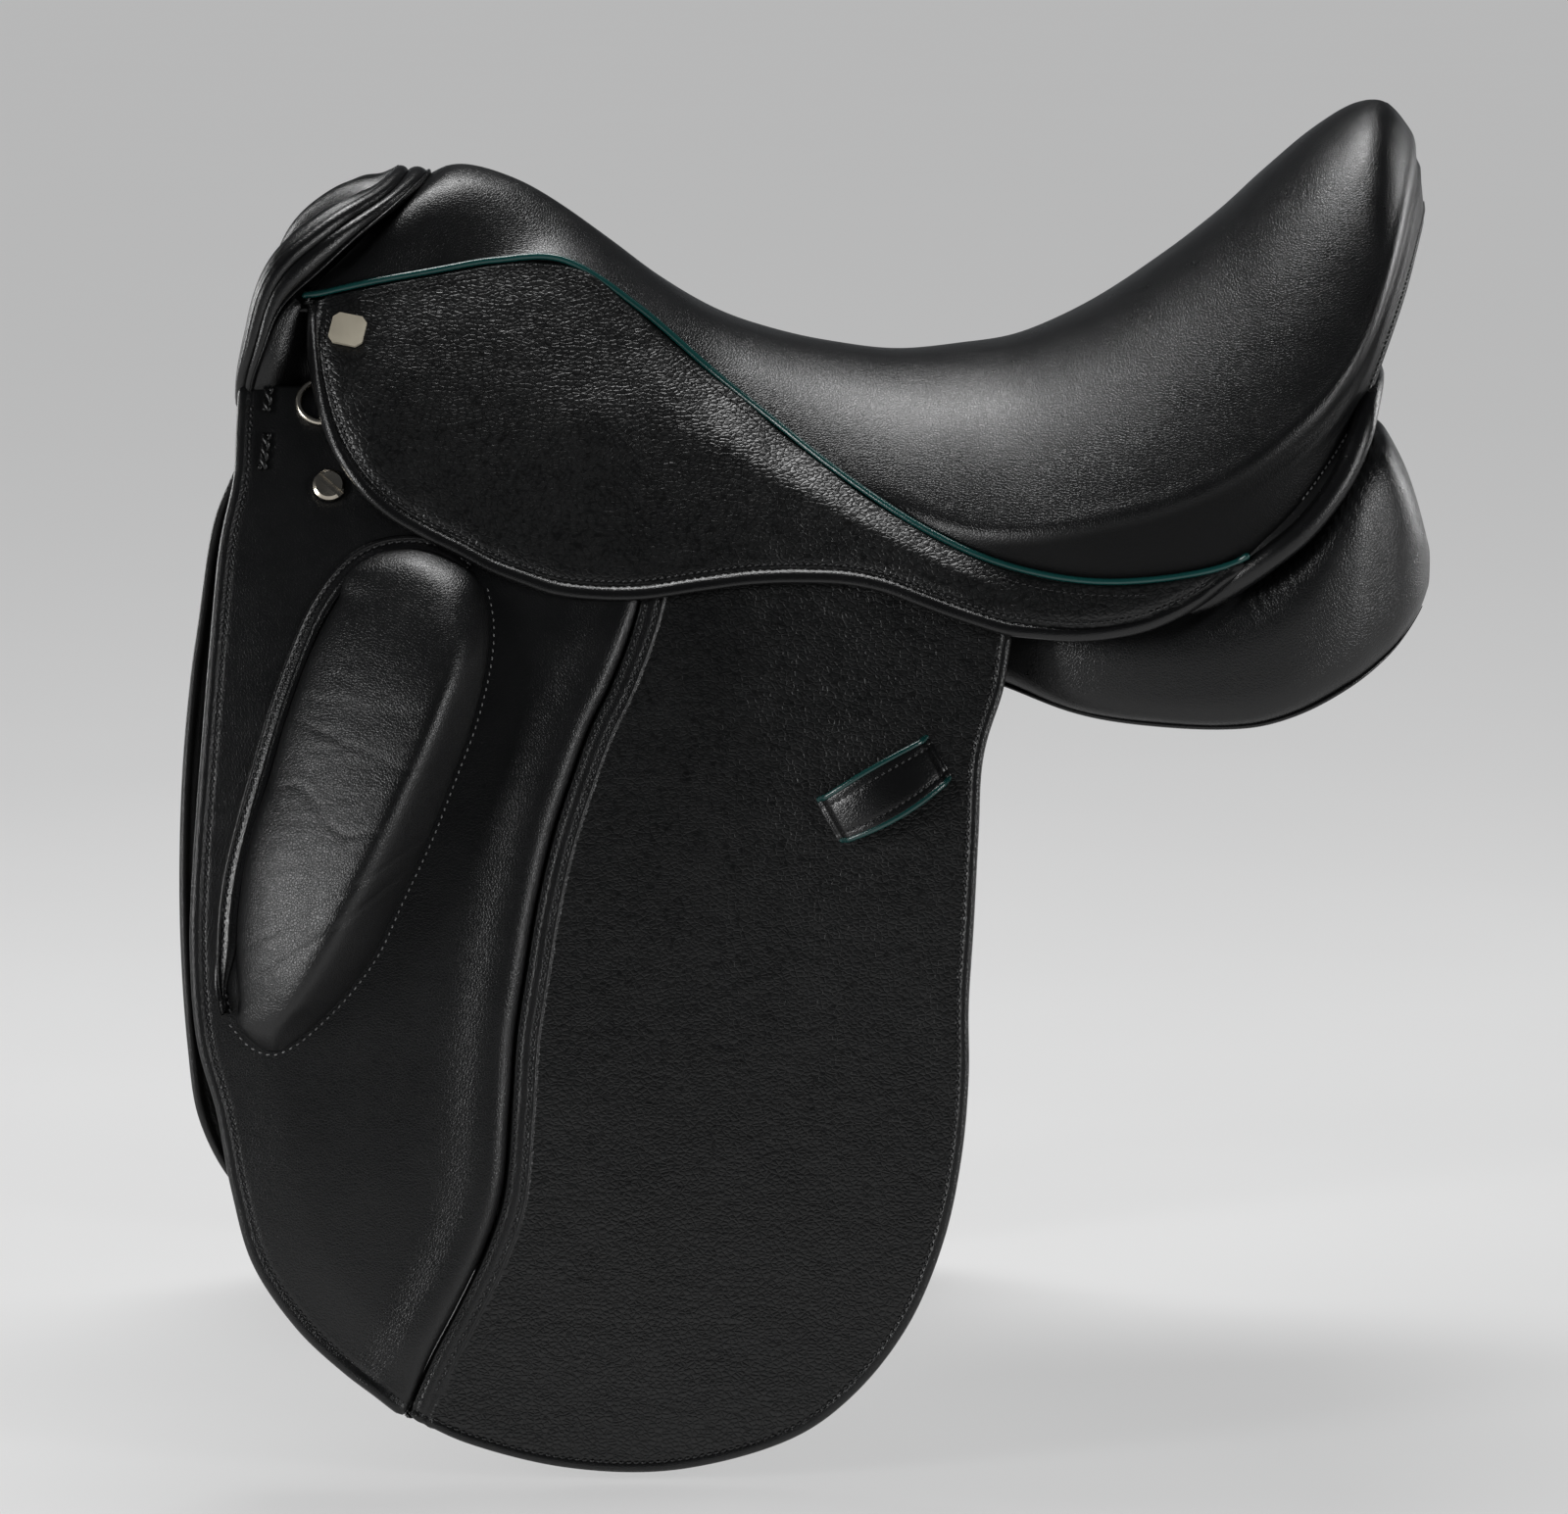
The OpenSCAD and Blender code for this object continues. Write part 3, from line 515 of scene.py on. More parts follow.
def thread_mat(name, c):
    m, t, b = new_mat(name)
    vec = tex_coord(t, (1, 1, 1))
    f = noise_tex(t, vec, 900.0, 2.0)
    t.links.new(ramp(t, f, [(0.3, (c[0]*0.6, c[1]*0.6, c[2]*0.6, 1)), (0.7, (*c, 1))]), b.inputs["Base Color"])
    t.links.new(bump(t, noise_tex(t, vec, 3500.0, 1.0), 0.4, 0.0001), b.inputs["Normal"])
    b.inputs["Roughness"].default_value = 0.36
    return m


def metal(name, a, c, rough=(0.16, 0.32), metallic=1.0):
    m, t, b = new_mat(name)
    vec = tex_coord(t, (1, 1, 1))
    f = noise_tex(t, vec, 45.0, 3.0, 0.5)
    t.links.new(ramp(t, f, [(0.35, (*a, 1)), (0.65, (*c, 1))]), b.inputs["Base Color"])
    t.links.new(ramp(t, noise_tex(t, vec, 160.0, 3.0, 0.6), [(0.3, grey(rough[0])), (0.7, grey(rough[1]))]), b.inputs["Roughness"])
    t.links.new(bump(t, noise_tex(t, tex_coord(t, (1, 7, 1)), 900.0, 2.0), 0.05, 0.00005), b.inputs["Normal"])
    b.inputs["Metallic"].default_value = metallic
    return m


def woven(name, a, c, scale=900.0):
    m, t, b = new_mat(name)
    vec = tex_coord(t, (1, 1, 1))
    w1 = t.nodes.new("ShaderNodeTexWave")
    w1.inputs["Scale"].default_value = scale/3
    w2 = t.nodes.new("ShaderNodeTexWave")
    w2.bands_direction = "Z"
    w2.inputs["Scale"].default_value = scale/3
    t.links.new(vec, w1.inputs[0]); t.links.new(vec, w2.inputs[0])
    h = math_node(t, "MULTIPLY", w1.outputs["Fac"], w2.outputs["Fac"])
    t.links.new(ramp(t, noise_tex(t, vec, 200.0, 4.0), [(0.3, (*a, 1)), (0.7, (*c, 1))]), b.inputs["Base Color"])
    t.links.new(bump(t, h, 0.5, 0.0004), b.inputs["Normal"])
    b.inputs["Roughness"].default_value = 0.85
    return m


SEAT_L = leather("seat_leather", (0.0032, 0.0033, 0.0035), (0.0050, 0.0051, 0.0053), (0.27, 0.33), "fine", dull=0.14)
SMOOTH_L = leather("smooth_leather", (0.0032, 0.0033, 0.0035), (0.0050, 0.0051, 0.0053), (0.28, 0.34), "fine")
GRAIN_L = leather("grained_leather", (0.0034, 0.0035, 0.0035), (0.0052, 0.0053, 0.0053), (0.29, 0.36), "pebble", (0.8, 1.0, 1.1))
EDGE_L = leather("edge_leather", (0.0030, 0.0030, 0.0032), (0.0046, 0.0046, 0.0048), (0.23, 0.29), "fine", depth=0.7)
STRAP_L = leather("strap_leather", (0.0050, 0.0048, 0.0046), (0.008, 0.0076, 0.0072), (0.31, 0.4), "fine")
PANEL_L = leather("panel_leather", (0.0034, 0.0035, 0.0037), (0.0052, 0.0053, 0.0055), (0.27, 0.33), "fine")
TEAL = leather("teal_piping", (0.002, 0.034, 0.031), (0.004, 0.056, 0.052), (0.18, 0.26), "fine", spec=0.7, depth=0.4)
THREAD = thread_mat("black_thread", (0.024, 0.024, 0.025))
# black thread given a light grey colour: painted highlight on the stitches
THREAD_HIGHLIT = thread_mat("thread_with_painted_highlight", (0.22, 0.22, 0.22))
NICKEL = metal("nickel", (0.56, 0.51, 0.43), (0.74, 0.69, 0.60))
STEEL = metal("steel", (0.30, 0.31, 0.33), (0.44, 0.45, 0.47), (0.25, 0.42))
FORGED = metal("forged_steel", (0.46, 0.47, 0.48), (0.62, 0.63, 0.64), (0.2, 0.36))
PLATE = metal("plate_metal", (0.62, 0.56, 0.44), (0.74, 0.68, 0.54), (0.38, 0.5), metallic=0.55)
WEB = woven("webbing", (0.05, 0.047, 0.042), (0.085, 0.08, 0.07))
BEECH = woven("tree_scrim", (0.010, 0.0095, 0.009), (0.018, 0.017, 0.016), 1400.0)

# ------------------------------------------------------------------ sides
LEFT = []


def side(name, VF, mat, body=None, blend=None, replaces=(), slot=None, sheet=None, padded=None, mats=None, fm=None):
    """A piece on both sides: the near one as built, and its mirror image."""
    o = make("left_" + name, VF[0], VF[1], mat, mats, fm)
    for s, q in (("left", o), ("right", mirrored(o, "right_" + name))):
        if blend:
            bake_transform(q)
        else:
            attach(q, "root" if body == "root" else s + "_" + body)
        if replaces:
            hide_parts(*[r.replace("SIDE", s) for r in replaces])
    return o


def single(name, VF, mat, replaces=()):
    o = make(name, VF[0], VF[1], mat)
    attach(o, "root")
    if replaces:
        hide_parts(*replaces)
    return o


def area_of(P):
    a, b, c, d = P[:-1, :-1], P[1:, :-1], P[1:, 1:], P[:-1, 1:]
    return float((np.linalg.norm(np.cross(b - a, c - a), axis=-1) + np.linalg.norm(np.cross(c - a, d - a), axis=-1)).sum()/2)*1e-6


def flat_of(P, w, l):
    """Cut size of a sheet from its own area, with the box it is cut from."""
    a = area_of(P)
    k = max(1.0, math.sqrt(a/(w*l))*1.02)
    return (w*k, l*k), a


# ------------------------------------------------------------------ seat
def seat_rows():
    """Rows C (middle), R (ridge), S (seam), near side as positive y."""
    rows = []
    for xc in (-147, -141, -132, -120, -106, -90, -72, -52, -30, -6, 20, 48, 75):
        xs = xc - 52*(1 - sm((xc + 147)/130.0))
        p = 1.6 + 1.4*sm((xc + 147)/26.0)*(1 - 0.5*sm((xc + 45)/75.0))
        zc = float(cr(xc, CREST)) - (1.6 if xc == -147 else 0)
        ys, zs = float(cr(xs, SEAM)), float(cr(xs, SEAM, 2))
        if xs < -190:
            ys, zs = 60 + (-194 - xs)*0.2, 128 - (-194 - xs)*0.12
        w = float(sm((xc - 20)/70.0))
        fy = ys*0.97 + w*(0.03*ys + 2.8)
        fz = (zc - (zc - zs)*0.97**p)*(1 - w) + (zs + 0.17*(xc - 20) - 0.2)*w if w > 0 else zc - (zc - zs)*0.97**p
        xr = xc + (xs - xc)*0.97**1.5
        rows.append([xc, 0, zc, xr, fy, fz, xs, ys, zs, p])
    rear = [(100,100,128.5,38,100,124.5,21.5),(130,128,134,43,128,131,18),(158,158,136,51,160,132,20),
            (183,184,135.5,63,187,130.5,27),(203,205,131.5,78,207,127.5,43),(219,222,124.5,93,224,120.5,65),
            (231,236,113.5,112,238,110,88),(239,246,98,134,248.5,96,112),(245,253.5,77,154,257.5,76.5,133),
            (248.5,259.5,52,170.5,264,53,149),(250.5,264,26,182,268.5,27,157),(251.5,266,0,188,270.5,0,159)]
    for c, rx, ry, rz, sx, sy, sz in rear:
        rows.append([c, 0, float(cr(c, CREST)), rx, ry, rz, sx, sy, sz, 2.3])
    return np.array(rows, float)


def seat_grid(nv=230):
    K = seat_rows()
    t = np.arange(len(K), dtype=float)
    T = [[t[i]] + list(K[i]) for i in range(len(K))]
    # even spacing along the ridge, finer than the table
    tt = np.linspace(0, len(K) - 1, 2400)
    R = np.stack([cr(tt, T, c) for c in (4, 5, 6)], 1)
    d = np.concatenate([[0], np.cumsum(np.linalg.norm(np.diff(R, axis=0), axis=1))])
    tv = np.interp(np.linspace(0, d[-1], nv), d, tt)
    G = np.stack([cr(tv, T, c) for c in range(1, 11)], 1)
    out = []
    for g, v in zip(G, tv):
        C, Rr, S, p = g[0:3], g[3:6], g[6:9], g[9]
        q = 1.5 - 0.3*float(sm((g[0] - 60)/120.0))
        a = np.linspace(0, 1, 160)[:, None]
        X = C[0] + (Rr[0] - C[0])*a**q
        Y = Rr[1]*a
        Z = C[2] - (C[2] - Rr[2])*a**p
        top = np.hstack([X, Y, Z])
        L1, L2 = length(top), np.linalg.norm(S - Rr)
        b = np.linspace(0, 1, max(8, int(160*L2/max(L1, 1))))[1:, None]
        w = float(sm((g[0] - 40)/80.0))
        outd = unit(np.array([Rr[0] - C[0], max(Rr[1], 1e-3), 0.0])[None])[0]
        wall = Rr + (S - Rr)*b + outd[None]*(0.8*w*np.sin(np.pi*b))
        full = even(np.vstack([top, wall]), 320)
        mir = full[1:60][::-1].copy()
        mir[:, 1] *= -1
        sig = 4.4*320/(L1 + L2)
        allp = smooth1(np.vstack([mir, full]), max(sig, 1.2))[59:]
        allp[-1] = S
        allp[0, 1] = 0.0
        # columns: finer round the ridge
        r = L1/(L1 + L2)
        cols = np.unique(np.concatenate([np.linspace(0, max(r - 0.12, 0.3), 44), np.linspace(max(r - 0.12, 0.3), 1, 34)]))
        cols = np.interp(np.linspace(0, 1, 76), np.linspace(0, 1, len(cols)), cols)
        s = np.linspace(0, 1, 320)
        row = np.stack([np.interp(cols, s, allp[:, k]) for k in range(3)], 1)
        out.append(np.hstack([row, ((cols - r)*(L1 + L2))[:, None], np.full((76, 1), w)]))
    return np.array(out)


def build_seat():
    G = seat_grid()
    P, dist, w = G[..., :3].copy(), G[..., 3], G[..., 4]
    N = grid_normals(P)
    N[-1] = N[-2]
    N *= np.where(N[..., 2:3].mean() < 0, -1, 1)
    # blocked edge: a soft bead with a pressed line outside it
    cw = sm((P[..., 0] - 170)/50)
    amp = w*(0.7*np.exp(-((dist + 1)/5.0)**2) - 0.6*cw*np.exp(-((dist - 8)/2.8)**2) + 0.5*cw*np.exp(-((dist - 12.5)/2.6)**2))
    amp[-1] = amp[-2]
    P = P + N*amp[..., None]
    P[:, 0, 1] = 0
    P[-1, :, 1] = 0
    # turned edges
    n, m = P.shape[:2]
    S, out = P[:, -1], unit(P[:, -1] - P[:, -4])
    h1 = S + np.array([0, 0, -2.0]) + np.stack([0*S[:, 0], -np.sign(S[:, 1])*0.8, 0*S[:, 0]], 1)
    h2 = h1 + np.array([0, 0, -3.5]) + np.stack([-3*sm((S[:, 0] - 200)/40), -4*sm(S[:, 1]/20), 0*S[:, 0]], 1)
    tuck = 9*sm((-184 - S[:, 0])/12)
    h1[:, 1] -= 0.15*tuck
    h2[:, 1] -= 0.45*tuck
    P = np.concatenate([P, h1[:, None], h2[:, None]], 1)
    f = P[0]
    f1 = f + np.array([-1.6, 0, -1.2])
    f2 = f1 + np.array([-0.3, 0, -5.0])
    P = np.concatenate([f2[None], f1[None], P], 0)
    # soft wear and give in the seat
    X, Y, Z = P[..., 0], P[..., 1], P[..., 2]
    P[..., 2] += 0.5*nz(X, Y, Z, 0.012, 3.1) + 0.12*nz(X, Y, Z, 0.05, 8.0)
    P[:, 0, 1] = 0
    return P, dist, w


SEAT, SEAT_D, SEAT_W = build_seat()


def seat_solid():
    P = SEAT
    n, m = P.shape[:2]
    Lf = P[:, ::-1].copy()
    Lf[..., 1] *= -1
    full = np.concatenate([Lf, P[:, 1:]], 1)
    return full


def shell(name, P, mat, thick, outward, weld=True):
    """Surface grid turned into a closed skin of even thickness."""
    n, m = P.shape[:2]
    F = quads(n, m)
    o = make(name, P.reshape(-1, 3), F, mat)
    N = grid_normals(P)
    if float((N*np.asarray(outward, float)).sum(-1).mean()) < 0:
        o.data.flip_normals()
    mods = []
    if weld:
        w = o.modifiers.new("weld", "WELD")
        w.merge_threshold = 0.0002
    s = o.modifiers.new("solid", "SOLIDIFY")
    s.thickness = thick*MM
    s.offset = -1
    s.use_even_offset = False
    dg = bpy.context.evaluated_depsgraph_get()
    me = bpy.data.meshes.new_from_object(o.evaluated_get(dg))
    o.modifiers.clear()
    old = o.data
    o.data = me
    bpy.data.meshes.remove(old)
    me.name = name
    me.polygons.foreach_set("use_smooth", [True]*len(me.polygons))
    return o


seat = shell("seat", seat_solid(), SEAT_L, 6.0, (0, 0, 1))
core = SEAT[2:, :SEAT_D.shape[1]]
kd = kdtree.KDTree(core.shape[0]*core.shape[1])
for i, q in enumerate(core.reshape(-1, 3)):
    kd.insert(Vector(q*MM), i)
kd.balance()
dflat, wflat = SEAT_D.ravel(), SEAT_W.ravel()
# the wall under the rear ridge gets a lower specular level and more roughness: painted shade that keeps the wall dark
wall_shade = seat.data.attributes.new("dull", "FLOAT", "POINT")
for v in seat.data.vertices:
    k = kd.find((v.co.x, abs(v.co.y), v.co.z))[1]
    wall_shade.data[v.index].value = float(sm((dflat[k] + 0.5)/6.0)*sm((wflat[k] - 0.1)/0.6))
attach(seat, "root")
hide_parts("seat_cover", "seat_foam")

# seam line of the seat: near side, from the head to the middle of the cantle
SLINE = SEAT[2:, -3].copy()
SLINE[:, 1] *= -1
end = int(np.argmin(np.abs(SLINE[:, 0] - 186)))
pipe = SLINE[:end + 1] + np.array([0, -2.6, 0.7])
tip = np.array([[189, -134.8, 29.2]])
pipe = even(np.vstack([pipe, tip]), 300)
pipe[:, 1] = np.minimum(pipe[:, 1], -(np.maximum(cr(pipe[:, 0], SEAM) + 2.6, 0)))
side("seat_piping", tube(pipe, 1.4, 12), TEAL, body="root", slot="teal_piping", replaces=())
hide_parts("seat_piping")
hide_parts("seat_piping")

# stitches above the cantle seam, in the lighter thread that paints their highlight
cant = SEAT[2:, -3].copy()
inr = SEAT[2:, -6].copy()
k0 = int(np.argmin(np.abs(cant[:, 0] - 212)))
row = (cant + (inr - cant)*0.55)[k0:]
row[:, 1] *= -1
nr = grid_normals(SEAT)[2:, -5][k0:]
nr = nr*np.sign(nr[:, 0:1] + 1e-9)
nr[:, 1] *= -1
stitch_row("root_highlit", row + nr*0.1, nr, pitch=2.6, long=1.9, r=0.34)

# ------------------------------------------------------------------ cantle back and rear roll
ROLL = [(152,-118,1),(164,-121.5,5),(176,-126,11.5),(187,-130.5,19.5),(200,-133,29.5),(212,-132,39.5),(222.5,-128.5,51.5),
        (230.5,-124,64),(236,-118.5,77),(239,-110,87),(241.5,-97,93.5),(243.5,-78,96),(245,-50,95.5),(245.5,-25,94),(245.5,0,93)]
rp = spline(ROLL, 150)
full_roll = np.vstack([rp, (rp[:-1]*np.array([1, -1, 1]))[::-1]])
rr = 5.2 - 1.8*sm((176 - full_roll[:, 0])/24)
single("cantle_roll", tube(full_roll, rr, 18), EDGE_L, replaces=("rear_roll",))
# back of the cantle between the seam and the roll
k1 = int(np.argmin(np.abs(cant[:, 0] - 196)))
sl = cant[k1:] * np.array([1, -1, 1])
sl = even(sl, 90)
lowr = even(rp[int(np.argmin(np.abs(rp[:, 0] - 190))):], 90)
inw = np.stack([-2.5 - 2*sm((sl[:, 0] - 230)/30), 2.0 + 0*sl[:, 0], np.zeros(90)], 1)
inw[:, 1] *= sm(-sl[:, 1]/20)
a0 = sl + inw + np.array([0, 0, 1.0])
fc = np.linspace(0, 1, 26)[:, None, None]
bow = (np.sin(np.pi*fc)*np.array([-5.0, 0, 0])[None, None])
back = a0[None] + (lowr - a0)[None]*fc + bow
back = np.transpose(back, (1, 0, 2))
fullb = np.concatenate([back, (back[:-1]*np.array([1, -1, 1]))[::-1]], 0)
bk = shell("cantle_back", fullb, SMOOTH_L, 2.5, (1, 0, 0), weld=False)
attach(bk, "root")
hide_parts("cantle_facing")

# ------------------------------------------------------------------ head
R2 = [(-161.5,0,173),(-170.5,-34,166),(-184,-54,160),(-197,-64,150.5),(-206.5,-69,144),(-212.5,-71.5,136.5),(-216,-72.5,129),(-218,-73,122.5),
      (-220.5,-73,111.5),(-223,-72,102),(-226,-69,94.5),(-226,-63,83)]
# broad band behind the front roll: its groove and its piped rear edge
GROOVE = [(-158.5,0,174.5),(-164,-30,168),(-172.5,-46,163),(-181.5,-56,158),(-190,-63,152.5),(-199,-68,146.5),(-207.5,-72,139),(-212.5,-73.5,131.5),
          (-215,-74.5,124),(-218.5,-74.5,110.5),(-221,-73.5,101.5),(-224.5,-70.5,94),(-225,-65,82)]
REAR_E = [(-148.5,0,173.6),(-155,-25,168.3),(-163.5,-41,161.7),(-172,-52,155.4),(-181,-60,149),(-189.5,-65,140.5),(-198,-68.5,133.4),(-206,-71.5,128),
          (-210.5,-73.5,122),(-214,-75,110),(-217.5,-74.5,100.7),(-222,-71.5,92.5),(-222,-66,80)]
# inside of the arch
ARCH = [(-161,0,171.5),(-163.2,-12,170.2),(-170,-26,166.4),(-183,-41,158.3),(-196,-52,149.5),(-207,-60,141.2),(-212.5,-63.8,135),(-216.5,-66.5,126.6),
        (-219,-69,115.4),(-223.3,-70.4,99),(-224.5,-67,90),(-225,-63,81)]


def arch_path(tab, n):
    far = [(x, -y, z) for x, y, z in tab[:0:-1]]
    return spline(list(tab[::-1]) + far[::-1], 2*n - 1)


def loft(R):
    """Closed skin over rings of points, faces outward."""
    n, k = R.shape[:2]
    q = quads(n, k, 0, False, True)
    V = R.reshape(-1, 3)
    c = V - V.mean(0)
    vol = (c[q[:, 0]]*np.cross(c[q[:, 1]], c[q[:, 2]])).sum() + (c[q[:, 0]]*np.cross(c[q[:, 2]], c[q[:, 3]])).sum()
    F = [tuple(f) for f in q] + [tuple(range(k)), tuple((n - 1)*k + j for j in range(k - 1, -1, -1))]
    return V, [f[::-1] for f in F] if vol < 0 else F


def head_band(n=120):
    near = np.hstack([GROOVE, REAR_E])
    far = near[:0:-1]*np.array([1, -1, 1, 1, -1, 1])
    W = spline([tuple(q) for q in near[::-1]] + [tuple(q) for q in far[::-1]], 2*n - 1)
    W = smooth1(W, 6.0)
    g, e = W[:, :3], W[:, 3:]
    T = unit(np.gradient((g + e)/2, axis=0))
    N = unit(np.cross(T, e - g))
    ref = np.stack([-0.2 + 0*g[:, 0], np.sign(g[:, 1])*sm(np.abs(g[:, 1])/25), 0.8 + 0*g[:, 0]], 1)
    N = N*np.sign((N*ref).sum(-1, keepdims=True))
    N = unit(smooth1(N, 3.0))
    wid = np.minimum(np.linalg.norm(e - g, axis=1)/10.5, 1)[:, None]
    ring = []
    for f in (0, 0.03, 0.08, 0.16, 0.27, 0.40, 0.53, 0.64, 0.72, 0.77, 0.80, 0.825, 0.84, 0.86, 0.89, 0.92, 0.95, 0.98, 1.0):
        if f < 0.825:
            h = 2.3*math.sin(math.pi*f/0.825)**0.62
        else:
            h = 1.5*math.sqrt(max(1 - ((f - 0.9125)/0.0875)**2, 0))
        ring.append(g + (e - g)*f + N*h*wid)
    for f, h in ((1.0, -1.6), (0.96, -4.0), (0.6, -6.0), (0.3, -5.0), (0.02, -3.0)):
        ring.append(g + (e - g)*f + N*h)
    return np.stack(ring, 1)


BAND = head_band()
b = smooth1(arch_path(R2, 100), 5.0)
kb_ = np.abs(np.linspace(-1, 1, len(b)))
single("head_rolls", join([loft(BAND), tube(b, 3.6 - 1.1*sm((kb_ - 0.55)/0.35), 18, up=(0, 0, 1))]), EDGE_L, replaces=("pommel_roll",))
# facing inside the cut back head and the lining under it
b, bo = smooth1(arch_path(R2, 80), 4.0), smooth1(arch_path(ARCH, 80), 4.0)


def inward_of(q):
    d = np.stack([np.zeros(len(q)), -q[:, 1] + 1e-6, np.zeros(len(q))], 1)
    return unit(d)*np.minimum(np.abs(q[:, 1:2])/12, 1)


iw, iwo = inward_of(b), inward_of(bo)
lip = sm((np.abs(b[:, 1:2]) - 30)/34)*sm((b[:, 2:3] - 96)/24)
F3 = [b + iw*p + np.array([q, 0, z]) + np.array([0, 0, 1.0])*lip*k
      for p, z, q, k in ((0.5, 0.5, 0, 0), (2.8, 1.6, -0.3, 2.0), (5.0, 1.4, -0.6, 4.0), (7.6, -0.6, -0.6, 3.6), (9.6, -5.0, 0, 1.5), (11.4, -10.5, 1, 0))]
F3 += [bo + iwo*p + np.array([q, 0, z]) for p, z, q in ((13.5, -24, 6), (16, -35, 12), (20, -43, 22), (23, -47, 40), (25, -49, 64))]
F3f = np.stack([spline(r, 48) for r in smooth1(np.stack(F3, 1), 3.0)], 0)
hf = shell("head_facing", F3f, SMOOTH_L, 2.5, (0, 0, 1), weld=False)
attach(hf, "root")
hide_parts("gullet_lining")
sr = F3f[10:-10, 7]
sn = grid_normals(F3f)[10:-10, 7]
sn = sn*np.sign((sn*np.stack([-0.3 + 0*sr[:, 0], -np.sign(sr[:, 1]), 0.4 + 0*sr[:, 0]], 1)).sum(-1, keepdims=True))
stitch_row("root_dark", sr + sn*2.6, sn, pitch=3.0, long=2.2, r=0.46)
# leather from the front roll down behind the top of the flap
HA = spline([(-203,-63,127),(-208,-67.5,121),(-212,-70,113),(-215.5,-71.5,103),(-219,-70,92),(-222,-66,79),(-222,-70,66)], 60)
HB = spline([(-178,-54,124),(-177,-57,116),(-177,-60,107),(-178,-63,98),(-179,-63,88),(-180,-66,77),(-180,-70,64)], 60)
fh = np.linspace(0, 1, 32)[None, :, None]
hs = HA[:, None] + (HB - HA)[:, None]*fh
hs[..., 1] += (7.0*(sm((fh - 0.10)/0.35)*(1 - sm((fh - 0.55)/0.45)))[..., 0])*sm((hs[..., 2] - 76)/12)
side("head_side", sheet_solid(hs, 2.5, (0, -1, 0.2)), SMOOTH_L, body="root", slot="smooth_leather")

# ------------------------------------------------------------------ skirt
EDGE_S = [(-197,127),(-197.8,118),(-198,108),(-197,99),(-193.5,84),(-188.5,71),(-183,61.5),(-174,50.5),(-162,40.5),(-149,33),(-135,26.5),(-122,20),
          (-108,15),(-95,11),(-78,9),(-59,9),(-36,12),(-13,15),(7,16),(26,15.6),(41,13),(56,8),(71,3),(91,-2.6),(103,-4),(119,-5),
          (134,-4),(149,-1),(164,5),(176,12.2),(184,19),(188.5,25.2)]
NS = 300
E = spline(EDGE_S, NS)
sx = np.linspace(-196.3, 188, 400)
Sx = np.stack([sx, np.where(sx > 160, cr(np.maximum(sx, 160), SEAM_TOP), np.where(sx < -194, 128, cr(sx, SEAM, 2))) - 1.9], 1)
S = even(Sx, NS)
D = S - E
L = np.maximum(np.linalg.norm(D, axis=1), 0.4)
D = D/L[:, None]
near = [0, 0.5, 1.2, 2.0, 2.8, 3.6, 4.3, 4.9, 5.4, 5.9, 6.5, 7.1, 7.7, 8.5, 10.5, 13.5]
C = columns(L, near, [0, 0.8, 2, 4, 7], 40, ka=slant(E, D))
X = E[:, None, 0] + D[:, None, 0]*C
Z = E[:, None, 1] + D[:, None, 1]*C
d = C/slant(E, D)[:, None]
bead = 1.7*np.sqrt(np.clip(1 - ((d - 2.5)/2.6)**2, 0, 1)) - 0.6*np.exp(-((d - 5.4)/0.6)**2) - 0.45*np.exp(-((d - 7.1)/0.6)**2) + 0.4*sm((d - 7.6)/3)
o_s = bead*sm(L/14)[:, None]
o_s = o_s + 0.7*nz(X, 0*X, Z, 0.016, 1.7)*sm(d/14) + 0.12*nz(X, 0*X, Z, 0.09, 5.0)*sm(d/8)
PS = onskirt(X, Z, o_s)
fl, ar = flat_of(PS, 0.40, 0.16)
fm_s = np.zeros(4*len(PS)*PS.shape[1], int)
fm_s[:(len(PS) - 1)*(PS.shape[1] - 1)] = (d[:-1, :-1] < 4.9).ravel()
side("skirt_leather", sheet_solid(PS, 3.4, (0, -1, 0.3)), GRAIN_L, mats=[GRAIN_L, EDGE_L], fm=fm_s, blend="skirt", replaces=("SIDE_skirt_top", "SIDE_skirt"),
     slot="grained_leather", sheet={"flat": fl, "held": "hung", "area": ar, "on": ["seat"]})
mid_s = (-40, 70)
stitch_on("skirt", inset(E, 7.1, mid_s)[8:-12], onskirt, 0.1, pitch=3.0, long=2.15, r=0.42)
stitch_on("skirt_top", inset(S, 2.6, mid_s)[14:-30], onskirt, 0.15, pitch=2.9, long=2.0, r=0.3)

# ------------------------------------------------------------------ flap
FRONT_X = [(-226, 89.5), (-226.4, 73)] + [tuple(p) for p in FRONT]
MID_X = [(-50, 48), (-56, 23)] + [tuple(p) for p in MID]
REAR_X = [(92, -3), (88, -26)] + [tuple(p) for p in REAR]
NF = 260


def lower(P2, top, hinge):
    """Pulls the rows above the hinge row down to the line top(x)."""
    z0, zh = P2[0, :, 1], P2[hinge, :, 1]
    for i in range(hinge):
        f = (P2[i, :, 1] - zh)/np.maximum(z0 - zh, 1e-3)
        t = np.minimum(top(P2[i, :, 0]), z0 + 40)
        P2[i, :, 1] = zh + np.clip(f, 0, 1.2)*(t - zh)
    return P2


